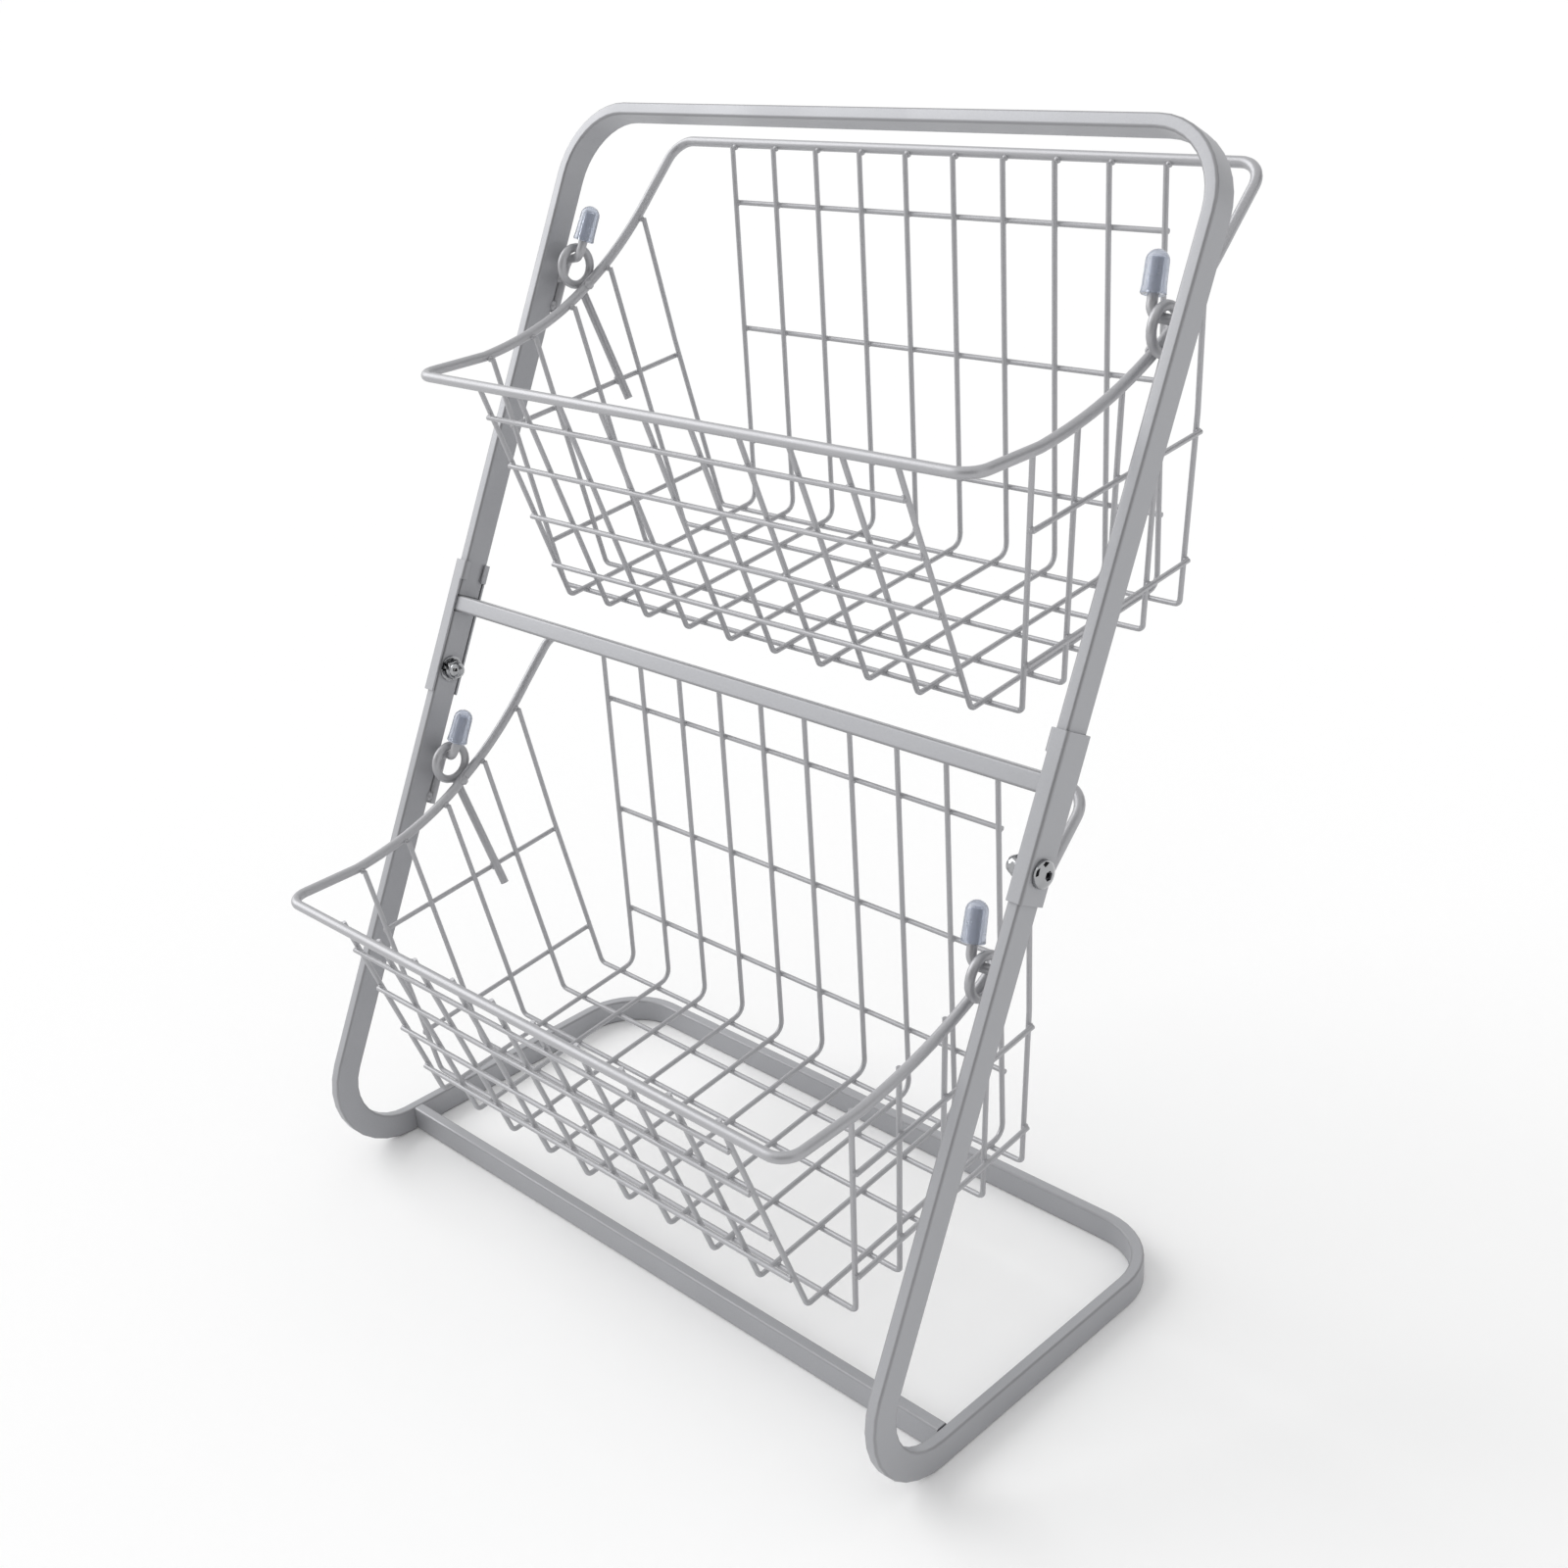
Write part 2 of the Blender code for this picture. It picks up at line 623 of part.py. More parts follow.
def rim_mesh():
    """The thick closed wire around the basket's mouth, low in front and high at the back."""
    front_y = -FRONT_SLOPE * FRONT_RIM_HEIGHT - offset_along(FRONT_SLOPE, RIM_OFFSET)
    back_y = back_wall_y(BACK_RIM_HEIGHT) + offset_along(BACK_SLOPE, RIM_OFFSET)
    half = [(Vector((rim_x(FRONT_RIM_HEIGHT), front_y, FRONT_RIM_HEIGHT)), RIM_FRONT_BEND)]
    for share in SIDE_RIM_SHARES:
        y = back_y * share
        z = side_rim_height(y)
        half.append((Vector((rim_x(z), y, z)), 0.0))
    half.append((Vector((rim_x(BACK_RIM_HEIGHT), back_y, BACK_RIM_HEIGHT)), RIM_BACK_BEND))
    other = [(Vector((-place.x, place.y, place.z)), bend) for place, bend in reversed(half)]
    corners = [place for place, bend in half + other]
    bends = [bend for place, bend in half + other]
    path = rounded_path(corners, bends, ARC_STEP, closed=True)
    up = Vector((0.0, 0.0, 1.0))
    return wire_mesh("rim", path, RIM_WIRE, THICK_WIRE_SIDES, up, closed=True)


def lengthwise_path(x):
    """Front wall, floor and back wall of one lengthwise wire."""
    front = FRONT_RIM_HEIGHT - WIRE_END_DROP
    back = BACK_RIM_HEIGHT - WIRE_END_DROP
    corners = [Vector((x, -FRONT_SLOPE * front, front)), Vector((x, 0.0, 0.0)),
               Vector((x, FLOOR_DEPTH, 0.0)), Vector((x, back_wall_y(back), back))]
    return rounded_path(corners, [FRONT_FLOOR_BEND, BACK_FLOOR_BEND])


def crosswise_path(y):
    """Left wall, floor and right wall of one crosswise wire, which runs under the floor."""
    low = -RAIL_OFFSET
    rim_z = side_rim_height(y)
    top = rim_z - WIRE_END_DROP
    half = [(Vector((side_wall_x(low), y, low)), SIDE_FLOOR_BEND)]
    if side_turn_in(rim_z) > 0.0:
        straight = SIDE_STRAIGHT_HEIGHT
        half.append((Vector((side_wall_x(straight), y, straight)), 0.0))
    half.append((Vector((side_wall_x(top) - side_turn_in(rim_z), y, top)), 0.0))
    other = [(Vector((-place.x, place.y, place.z)), bend) for place, bend in reversed(half)]
    corners = [place for place, bend in other + half]
    return rounded_path(corners, [bend for place, bend in other + half][1:-1])


def lengthwise_x(index):
    share = 2 * index / (LENGTHWISE_COUNT - 1) - 1
    return share * (floor_half_width() - LENGTHWISE_INSET)


def crosswise_y(index):
    return CROSSWISE_FRONT_INSET + index * CROSSWISE_SPACING


def wall_rails():
    """Rails of the front and back walls: the wall point at each height and its way outwards."""
    out_front = Vector((0.0, -1.0, -FRONT_SLOPE)).normalized()
    out_back = Vector((0.0, 1.0, -BACK_SLOPE)).normalized()
    rails = []
    for share in FRONT_RAIL_SHARES:
        z = share * FRONT_RIM_HEIGHT
        rails.append((Vector((0.0, -FRONT_SLOPE * z, z)), out_front))
    for share in BACK_RAIL_SHARES:
        z = share * BACK_RIM_HEIGHT
        rails.append((Vector((0.0, back_wall_y(z), z)), out_back))
    return rails


def side_rails():
    """Rails of both side walls: the wall point at each height and its way outwards."""
    rails = []
    for side in (-1, 1):
        out = Vector((side, 0.0, -SIDE_SLOPE)).normalized()
        for share in SIDE_RAIL_SHARES:
            z = share * SIDE_RIM_HEIGHT
            rails.append((Vector((side * side_wall_x(z), 0.0, z)), out))
    return rails


def ladder(name, wires, rails, run, ends, material, parent):
    """Two grid wires joined by rails, with a weld at each crossing."""
    bm = bmesh.new()
    for path, hint in wires:
        add_wire(bm, path, GRID_WIRE, WIRE_SIDES, hint)
    item = make_object(name, finish_mesh(bm, name), material, parent)
    welds = bmesh.new()
    bars = bmesh.new()
    low, high = ends
    for wall_point, out in rails:
        centre = wall_point + out * RAIL_OFFSET
        bar = [centre + run * (low - RAIL_OVERHANG), centre + run * (high + RAIL_OVERHANG)]
        add_wire(bars, bar, GRID_WIRE, WIRE_SIDES, out)
        for end in ends:
            weld = [wall_point + run * end, centre + run * end]
            add_wire(welds, weld, 2 * WELD_RADIUS, WIRE_SIDES, run)
    for label, bm in (("welds", welds), ("bars", bars)):
        helper = make_object(f"{name}_{label}", finish_mesh(bm, label), None, parent)
        add_boolean(item, helper, "UNION")
    return item


def hinge_in_world(along):
    return lean_place(0.0, hinge_behind(), along)


def hanger(name, side, material, parent, shift):
    """A stem up the side wall, joined to a ring above the rim."""
    start, direction = hanger_line()
    edge = floor_half_width()
    centre = Vector((side * (edge + ring_reach()), HANGER_PLACE, RING_HEIGHT))
    back, up = Vector((0.0, 1.0, 0.0)), Vector((0.0, 0.0, 1.0))
    stem_way = Vector((side * direction.x, 0.0, direction.y))
    foot = Vector((side * (edge + start.x), HANGER_PLACE, start.y)) - stem_way * HANGER_TAIL
    stem = wire_mesh("stem", [foot + shift, centre - up * RING_RADIUS + shift], HANGER_WIRE,
                     THICK_WIRE_SIDES)
    item = make_object(name, stem, material, parent)
    turns = [2 * math.pi * (i + 0.5) / RING_STEPS for i in range(RING_STEPS)]
    loop = [centre + (up * math.cos(turn) + back * math.sin(turn)) * RING_RADIUS + shift
            for turn in turns]
    ring = wire_mesh("ring", loop, HANGER_WIRE, THICK_WIRE_SIDES, back.cross(up), closed=True)
    add_boolean(item, make_object(f"{name}_ring", ring, None, parent), "UNION")


def shifted(path, shift):
    return [place + shift for place in path]


def build_basket(label, along, coat):
    """One basket on an empty at its pegs' axis, with every piece drawn from that axis."""
    pivot = make_empty(f"{label}_basket_axis", hinge_in_world(along), BASKET_TILT)
    shift = -hinge_in_basket()
    rim = rim_mesh()
    rim.transform(Matrix.Translation(shift))
    make_object(f"{label}_rim", rim, coat, pivot)
    across = Vector((1.0, 0.0, 0.0))
    back = Vector((0.0, 1.0, 0.0))
    last = LENGTHWISE_COUNT - 1
    for index in range(1, last):
        path = shifted(lengthwise_path(lengthwise_x(index)), shift)
        mesh = wire_mesh("lengthwise_wire", path, GRID_WIRE, WIRE_SIDES, across)
        make_object(f"{label}_lengthwise_wire_{index + 1}", mesh, coat, pivot)
    for index in range(1, CROSSWISE_COUNT - 1):
        path = shifted(crosswise_path(crosswise_y(index)), shift)
        mesh = wire_mesh("crosswise_wire", path, GRID_WIRE, WIRE_SIDES, back)
        make_object(f"{label}_crosswise_wire_{index + 1}", mesh, coat, pivot)
    ends = (lengthwise_x(0), lengthwise_x(last))
    wires = [(shifted(lengthwise_path(x), shift), across) for x in ends]
    rails = [(place + shift, out) for place, out in wall_rails()]
    ladder(f"{label}_front_and_back_rails", wires, rails, across, ends, coat, pivot)
    ends = (crosswise_y(0), crosswise_y(CROSSWISE_COUNT - 1))
    wires = [(shifted(crosswise_path(y), shift), back) for y in ends]
    rails = [(place + shift, out) for place, out in side_rails()]
    ladder(f"{label}_side_rails", wires, rails, back, ends, coat, pivot)
    for side_name, side in SIDES:
        hanger(f"{label}_{side_name}_hanger", side, coat, pivot, shift)


def build_pegs(label, along, coat, vinyl, parent, shift):
    """The pair of capped pegs that carries one basket."""
    for side_name, side in SIDES:
        corners = shifted(peg_corners(side, along), shift)
        path = rounded_path(corners, [PEG_BEND, PEG_BEND], ARC_STEP)
        mesh = wire_mesh("peg", path, PEG_WIRE, THICK_WIRE_SIDES)
        make_object(f"{label}_{side_name}_peg", mesh, coat, parent)
        tip_way = (corners[3] - corners[2]).normalized()
        turn = tip_way.to_track_quat("Z", "Y").to_matrix().to_4x4()
        matrix = Matrix.Translation(corners[2] + tip_way * CAP_START) @ turn
        make_object(f"{label}_{side_name}_cap", cap_mesh(), vinyl, parent, matrix)


def build_frame(coat, chrome, vinyl):
    lean = make_empty("leaning_frame", lean_place(0.0, 0.0, 0.0), -FRAME_LEAN)
    lower_frame = make_object("lower_frame", lower_frame_mesh(), coat)
    bar_half = INNER_FACE_X - SEAT_GAP
    front_bar = make_object("front_bar", box_tube_mesh("front_bar", bar_half, TUBE_THIN, TUBE_DEEP), coat)
    front_y = FRONT_LINE_Y + foot_reach() + FRONT_BAR_INSET + TUBE_THIN / 2
    front_bar.location = (0.0, front_y, TUBE_DEEP / 2)
    middle_half = FRAME_WIDTH / 2 - SEAT_GAP
    middle_mesh = box_tube_mesh("middle_bar", middle_half, TUBE_DEEP, MIDDLE_BAR_HEIGHT)
    middle_place = (0.0, TUBE_DEEP / 2, middle_bar_along() + MIDDLE_BAR_HEIGHT / 2)
    make_object("middle_bar", middle_mesh, coat, lean, Matrix.Translation(middle_place))
    head_x = FRAME_WIDTH / 2 + SEAT_GAP + SLEEVE_WALL + SEAT_GAP
    washer_x = INNER_FACE_X - SEAT_GAP
    nut_x = washer_x - WASHER_THICKNESS - SEAT_GAP
    for side_name, side in SIDES:
        sleeve = make_object(f"{side_name}_sleeve", sleeve_mesh(side), coat, lean)
        add_lips(sleeve, side, f"{side_name}_sleeve", lean)
        cutter = hole_cutter(f"{side_name}_bolt_hole", side, lean)
        add_boolean(sleeve, cutter, "DIFFERENCE")
        add_boolean(lower_frame, cutter, "DIFFERENCE")
        make_object(f"{side_name}_bolt", bolt_mesh(), chrome, lean, fastener_matrix(side, head_x, False))
        make_object(f"{side_name}_washer", washer_mesh(), chrome, lean,
                    fastener_matrix(side, washer_x, True))
        make_object(f"{side_name}_nut", nut_mesh(), chrome, lean, fastener_matrix(side, nut_x, True))
    build_pegs("lower", lower_peg_along(), coat, vinyl, lean, Vector((0.0, 0.0, 0.0)))

    foot = Vector((0.0, TUBE_DEEP / 2, middle_bar_top() + SEAT_GAP))
    slide = make_empty("hoop_slide", lean_place(*foot), -FRAME_LEAN)
    hoop = hoop_mesh()
    hoop.transform(Matrix.Translation(-foot))
    make_object("hoop", hoop, coat, slide)
    build_pegs("upper", upper_peg_along(), coat, vinyl, slide, -foot)


clear_scene()
powder_coat = make_material("powder_coat", (0.46, 0.45, 0.44), 0.45, 0.0)
bright_chrome = make_material("chrome", (0.80, 0.80, 0.82), 0.12, 1.0)
clear_vinyl = make_material("clear_vinyl", (0.62, 0.65, 0.72), 0.25, 0.0, 0.75)
build_frame(powder_coat, bright_chrome, clear_vinyl)
build_basket("upper", upper_peg_along(), powder_coat)
build_basket("lower", lower_peg_along(), powder_coat)
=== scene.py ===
import math

import bmesh
import bpy
from mathutils import Matrix, Vector


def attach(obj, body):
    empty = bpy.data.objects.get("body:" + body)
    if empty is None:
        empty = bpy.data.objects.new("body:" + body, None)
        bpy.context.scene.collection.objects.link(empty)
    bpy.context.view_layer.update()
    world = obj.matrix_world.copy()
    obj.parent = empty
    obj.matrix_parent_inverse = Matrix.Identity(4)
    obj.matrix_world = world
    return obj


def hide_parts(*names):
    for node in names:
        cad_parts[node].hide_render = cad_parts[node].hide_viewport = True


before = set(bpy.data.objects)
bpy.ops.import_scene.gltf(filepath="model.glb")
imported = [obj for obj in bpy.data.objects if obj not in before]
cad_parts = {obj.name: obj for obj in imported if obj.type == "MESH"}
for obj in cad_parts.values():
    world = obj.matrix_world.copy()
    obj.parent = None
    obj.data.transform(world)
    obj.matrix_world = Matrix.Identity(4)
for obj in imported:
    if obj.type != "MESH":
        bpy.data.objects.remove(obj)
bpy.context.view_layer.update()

# Camera
# A view from the front right and a little above, held slightly turned, as a shop photograph of
# the stand is taken.
LENS = 43.992
SENSOR_WIDTH = 36.0
VIEW_TURN = math.radians(46.4834)
VIEW_PITCH = math.radians(-24.4596)
VIEW_ROLL = math.radians(-4.3733)
CAMERA_PLACE = (0.62316, -0.63609, 0.61315)

forward = Vector((-math.sin(VIEW_TURN) * math.cos(VIEW_PITCH),
                  math.cos(VIEW_TURN) * math.cos(VIEW_PITCH), math.sin(VIEW_PITCH)))
level = Vector((math.cos(VIEW_TURN), math.sin(VIEW_TURN), 0.0))
upright = level.cross(forward)
camera_right = level * math.cos(VIEW_ROLL) + upright * math.sin(VIEW_ROLL)
camera_up = upright * math.cos(VIEW_ROLL) - level * math.sin(VIEW_ROLL)
camera_data = bpy.data.cameras.new("camera")
camera_data.lens = LENS
camera_data.sensor_width = SENSOR_WIDTH
camera = bpy.data.objects.new("camera", camera_data)
bpy.context.scene.collection.objects.link(camera)
turn = Matrix((camera_right, camera_up, -forward)).transposed()
camera.matrix_world = Matrix.Translation(CAMERA_PLACE) @ turn.to_4x4()
bpy.context.scene.camera = camera
bpy.context.scene.view_settings.view_transform = "Standard"

# Floor, surround and lamps
# A pale matt floor in a white surround, which lights the stand from all round, and one very large
# soft lamp high at the left. Two dark sheets stand for the unlit end of the room and a doorway,
# and only show in reflections.
FLOOR_HALF = 40.0
FLOOR_TONE = (0.98, 0.98, 0.98)
FLOOR_MOTTLE = 0.995
FLOOR_MOTTLE_SCALE = 3.0
FLOOR_ROUGHNESS = 0.9
WHITE = (1.0, 1.0, 1.0, 1.0)
SURROUND_SEEN = 1.0
SURROUND_FILL = 0.76
KEY_WAY = Vector((0.86, 0.31, -0.62))
KEY_STRENGTH = 1.5
KEY_SPREAD = math.radians(48.0)
DARK_TONE = (0.012, 0.012, 0.013, 1.0)
DARK_AIM = Vector((0.0, -0.1, 0.3))
DARK_SHEETS = (("dark_room", Vector((1.06, -1.47, 1.05)), 1.2, 0.9),
               ("dark_doorway", Vector((1.45, 1.40, 1.30)), 0.80, 0.70))


def feed(tree, node, inputs):
    """Set a node's inputs. Each takes a value, or the output that is linked to it."""
    for label, value in inputs.items():
        if isinstance(value, bpy.types.NodeSocket):
            tree.links.new(value, node.inputs[label])
        else:
            node.inputs[label].default_value = value


def add_node(tree, kind, inputs=None, **settings):
    node = tree.nodes.new(kind)
    for label, value in settings.items():
        setattr(node, label, value)
    feed(tree, node, inputs or {})
    return node


def new_material(name, values):
    """A material, its tree and its shader, with plain values on the shader's own sockets."""
    material = bpy.data.materials.new(name)
    material.use_nodes = True
    shader = material.node_tree.nodes["Principled BSDF"]
    feed(material.node_tree, shader, values)
    return material, material.node_tree, shader


world = bpy.data.worlds.new("surround")
bpy.context.scene.world = world
world.use_nodes = True
tree = world.node_tree
fill = tree.nodes["Background"]
feed(tree, fill, {"Color": WHITE, "Strength": SURROUND_FILL})
white = add_node(tree, "ShaderNodeBackground", {"Color": WHITE, "Strength": SURROUND_SEEN})
ray = add_node(tree, "ShaderNodeLightPath")
seen = add_node(tree, "ShaderNodeMath", {0: ray.outputs["Is Camera Ray"],
                                         1: ray.outputs["Is Glossy Ray"]}, operation="ADD")
seen_all = add_node(tree, "ShaderNodeMath", {0: seen.outputs[0],
                                             1: ray.outputs["Is Transmission Ray"]},
                    operation="ADD", use_clamp=True)
mix = add_node(tree, "ShaderNodeMixShader",
               {0: seen_all.outputs[0], 1: fill.outputs[0], 2: white.outputs[0]})
feed(tree, tree.nodes["World Output"], {"Surface": mix.outputs[0]})

key_data = bpy.data.lights.new("key_lamp", "SUN")
key_data.energy = KEY_STRENGTH
key_data.angle = KEY_SPREAD
key = bpy.data.objects.new("key_lamp", key_data)
key.rotation_euler = KEY_WAY.to_track_quat("-Z", "Y").to_euler()
bpy.context.scene.collection.objects.link(key)


def flat_sheet(name, half_x, half_y, material):
    mesh = bpy.data.meshes.new(name)
    corners = [(-half_x, -half_y, 0.0), (half_x, -half_y, 0.0),
               (half_x, half_y, 0.0), (-half_x, half_y, 0.0)]
    mesh.from_pydata(corners, [], [(0, 1, 2, 3)])
    mesh.materials.append(material)
    item = bpy.data.objects.new(name, mesh)
    bpy.context.scene.collection.objects.link(item)
    return item


matt_floor, tree, shader = new_material(
    "matt_floor", {"Roughness": FLOOR_ROUGHNESS, "Specular IOR Level": 0.0})
place = add_node(tree, "ShaderNodeTexCoord")
mottle = add_node(tree, "ShaderNodeTexNoise",
                  {"Vector": place.outputs["Object"], "Scale": FLOOR_MOTTLE_SCALE})
tones = add_node(tree, "ShaderNodeValToRGB", {"Fac": mottle.outputs["Fac"]})
tones.color_ramp.elements[0].color = (*[tone * FLOOR_MOTTLE for tone in FLOOR_TONE], 1.0)
tones.color_ramp.elements[1].color = (*FLOOR_TONE, 1.0)
feed(tree, shader, {"Base Color": tones.outputs["Color"]})
flat_sheet("floor", FLOOR_HALF, FLOOR_HALF, matt_floor)

dark_room, tree, shader = new_material("dark_room", {"Base Color": DARK_TONE, "Roughness": 1.0})
for name, place, half_x, half_y in DARK_SHEETS:
    sheet = flat_sheet(name, half_x, half_y, dark_room)
    sheet.location = place
    sheet.rotation_euler = (DARK_AIM - place).to_track_quat("Z", "Y").to_euler()
    sheet.visible_camera = False
    sheet.visible_diffuse = False
    sheet.visible_transmission = False
    sheet.visible_shadow = False

# Lower frame: uprights and base loop
# One flat steel tube with rounded edges, bent at the feet and at the back corners, and powder
# coated in a cool light grey. Its two open upper ends stop under the middle bar.
FRAME_WIDTH = 0.400
FRAME_LEAN = math.radians(27.1)
FRONT_LINE_Y = -0.23835
TUBE_THIN = 0.0063
TUBE_DEEP = 0.0139
TUBE_WALL = 0.0010
TUBE_EDGE = 0.0013
TUBE_EDGE_STEPS = 4
TUBE_BEND_STEPS = 10
FOOT_BEND = 0.042
BASE_BEND = 0.038
SEAT_GAP = 0.0003
MIDDLE_BAR_ALONG = 0.323926
SHARP_FROM = math.radians(38.0)
TUBE_COAT = (0.378, 0.382, 0.400)
# Painted shade: a darker colour along the tube's rounded edges, standing in for the dark reflection
# line there.
TUBE_EDGE_PAINTED_SHADE = (0.290, 0.290, 0.302)
TUBE_PEEL_SCALE = 620.0
TUBE_PEEL_DEPTH = 0.00006
TUBE_ROUGHNESS = (0.36, 0.50)
COAT_METAL = 0.35
COAT_BUMP = 0.6
PEEL_DETAIL = 2.0
SPECKLE_SCALE = 2600.0
SPECKLE_SPAN = (0.35, 0.65)
SPECKLE_TONES = (0.96, 1.03)
DRIFT_SCALE = 22.0
DRIFT_DETAIL = 3.0
DRIFT_SPAN = (0.3, 0.7)
DRIFT_TONES = (0.965, 1.03)
# How the slant of the section's rounded corners maps to the painted edge shade.
EDGE_SHADE_SPAN = (0.12, 0.46)

UPRIGHT_X = (FRAME_WIDTH - TUBE_THIN) / 2
INNER_FACE_X = FRAME_WIDTH / 2 - TUBE_THIN
lean = Matrix.Translation((0.0, FRONT_LINE_Y, 0.0)) @ Matrix.Rotation(-FRAME_LEAN, 4, "X")


def new_tree(name, kind, inputs, outputs):
    """A node tree with named sockets: (name, kind of socket, value)."""
    tree = bpy.data.node_groups.new(name, kind)
    for label, socket_type, value in inputs:
        socket = tree.interface.new_socket(label, in_out="INPUT", socket_type=socket_type)
        if value is not None:
            socket.default_value = value
    for label, socket_type in outputs:
        tree.interface.new_socket(label, in_out="OUTPUT", socket_type=socket_type)
    return tree, tree.nodes.new("NodeGroupInput"), tree.nodes.new("NodeGroupOutput")


def compute(tree, operation, *values):
    node = add_node(tree, "ShaderNodeMath", dict(enumerate(values)), operation=operation)
    return node.outputs[0]


def map_range(tree, value, span, low=0.0, high=1.0):
    """Spread a span of a value over low to high."""
    node = add_node(tree, "ShaderNodeMapRange", {"Value": value, "From Min": span[0],
                                                 "From Max": span[1], "To Min": low,
                                                 "To Max": high})
    return node.outputs[0]


def make_coat_grain():
    """Powder coat: orange peel, pigment speckle, slow drift of tone, and painted shade that darkens
    marked edges.
    """
    tree, given, out = new_tree(
        "coat_grain_and_edge_shade", "ShaderNodeTree",
        [("Color", "NodeSocketColor", None), ("Edge Shade Color", "NodeSocketColor", None),
         ("Edge", "NodeSocketFloat", 0.0), ("Peel Scale", "NodeSocketFloat", 600.0),
         ("Gloss Low", "NodeSocketFloat", 0.38), ("Gloss High", "NodeSocketFloat", 0.52)],
        [("Color", "NodeSocketColor"), ("Roughness", "NodeSocketFloat"),
         ("Height", "NodeSocketFloat")])
    asked = given.outputs
    place = add_node(tree, "ShaderNodeTexCoord").outputs["Object"]
    peel = add_node(tree, "ShaderNodeTexNoise", {"Vector": place, "Scale": asked["Peel Scale"],
                                                 "Detail": PEEL_DETAIL})
    speckle = add_node(tree, "ShaderNodeTexNoise", {"Vector": place, "Scale": SPECKLE_SCALE})
    drift = add_node(tree, "ShaderNodeTexNoise", {"Vector": place, "Scale": DRIFT_SCALE,
                                                  "Detail": DRIFT_DETAIL})
    tone = compute(tree, "MULTIPLY",
                   map_range(tree, drift.outputs["Fac"], DRIFT_SPAN, *DRIFT_TONES),
                   map_range(tree, speckle.outputs["Fac"], SPECKLE_SPAN, *SPECKLE_TONES))
    shade = add_node(tree, "ShaderNodeVectorMath", {0: asked["Color"], "Scale": tone},
                     operation="SCALE")
    # Painted shade: marked edges are mixed towards the darker edge colour, standing in for the dark
    # reflection line along corners.
    edge = add_node(tree, "ShaderNodeMix", {"Factor": asked["Edge"], "A": shade.outputs[0],
                                            "B": asked["Edge Shade Color"]}, data_type="RGBA")
    gloss = map_range(tree, drift.outputs["Fac"], DRIFT_SPAN,
                      asked["Gloss Low"], asked["Gloss High"])
    feed(tree, out, {"Color": edge.outputs["Result"], "Roughness": gloss,
                     "Height": peel.outputs["Fac"]})
    return tree


coat_grain_and_edge_shade = make_coat_grain()


def make_coat(name, colour, edge_shade_colour, peel_scale, roughness, peel_depth):
    material, tree, shader = new_material(name, {"Metallic": COAT_METAL})
    # The mesh's edge mark says where painted shade darkens the coat.
    edge = add_node(tree, "ShaderNodeAttribute", attribute_name="edge")
    grain = add_node(tree, "ShaderNodeGroup", {
        "Color": (*colour, 1.0), "Edge Shade Color": (*edge_shade_colour, 1.0), "Edge": edge.outputs["Fac"],
        "Peel Scale": peel_scale, "Gloss Low": roughness[0], "Gloss High": roughness[1]},
        node_tree=coat_grain_and_edge_shade)
    bump = add_node(tree, "ShaderNodeBump", {"Strength": COAT_BUMP, "Distance": peel_depth,
                                             "Height": grain.outputs["Height"]})
    feed(tree, shader, {"Base Color": grain.outputs["Color"],
                        "Roughness": grain.outputs["Roughness"],
                        "Normal": bump.outputs["Normal"]})
    return material


tube_coat = make_coat("tube_powder_coat", TUBE_COAT, TUBE_EDGE_PAINTED_SHADE, TUBE_PEEL_SCALE,
                      TUBE_ROUGHNESS, TUBE_PEEL_DEPTH)


def round_corners(tree, curve, steps):
    """Round a path's corners, each by the bend radius that it carries."""
    radius = add_node(tree, "GeometryNodeInputNamedAttribute", {"Name": "bend"},
                      data_type="FLOAT")
    bend = add_node(tree, "GeometryNodeFilletCurve", {
        "Curve": curve, "Count": steps, "Radius": radius.outputs["Attribute"]}, mode="POLY")
    return bend.outputs["Curve"]


def end_tree(tree, geometry, coat, out):
    """End a tree in plain geometry that has its material."""
    real = add_node(tree, "GeometryNodeRealizeInstances", {"Geometry": geometry})
    coated = add_node(tree, "GeometryNodeSetMaterial", {"Geometry": real.outputs["Geometry"],
                                                        "Material": coat})
    feed(tree, out, {0: coated.outputs["Geometry"]})


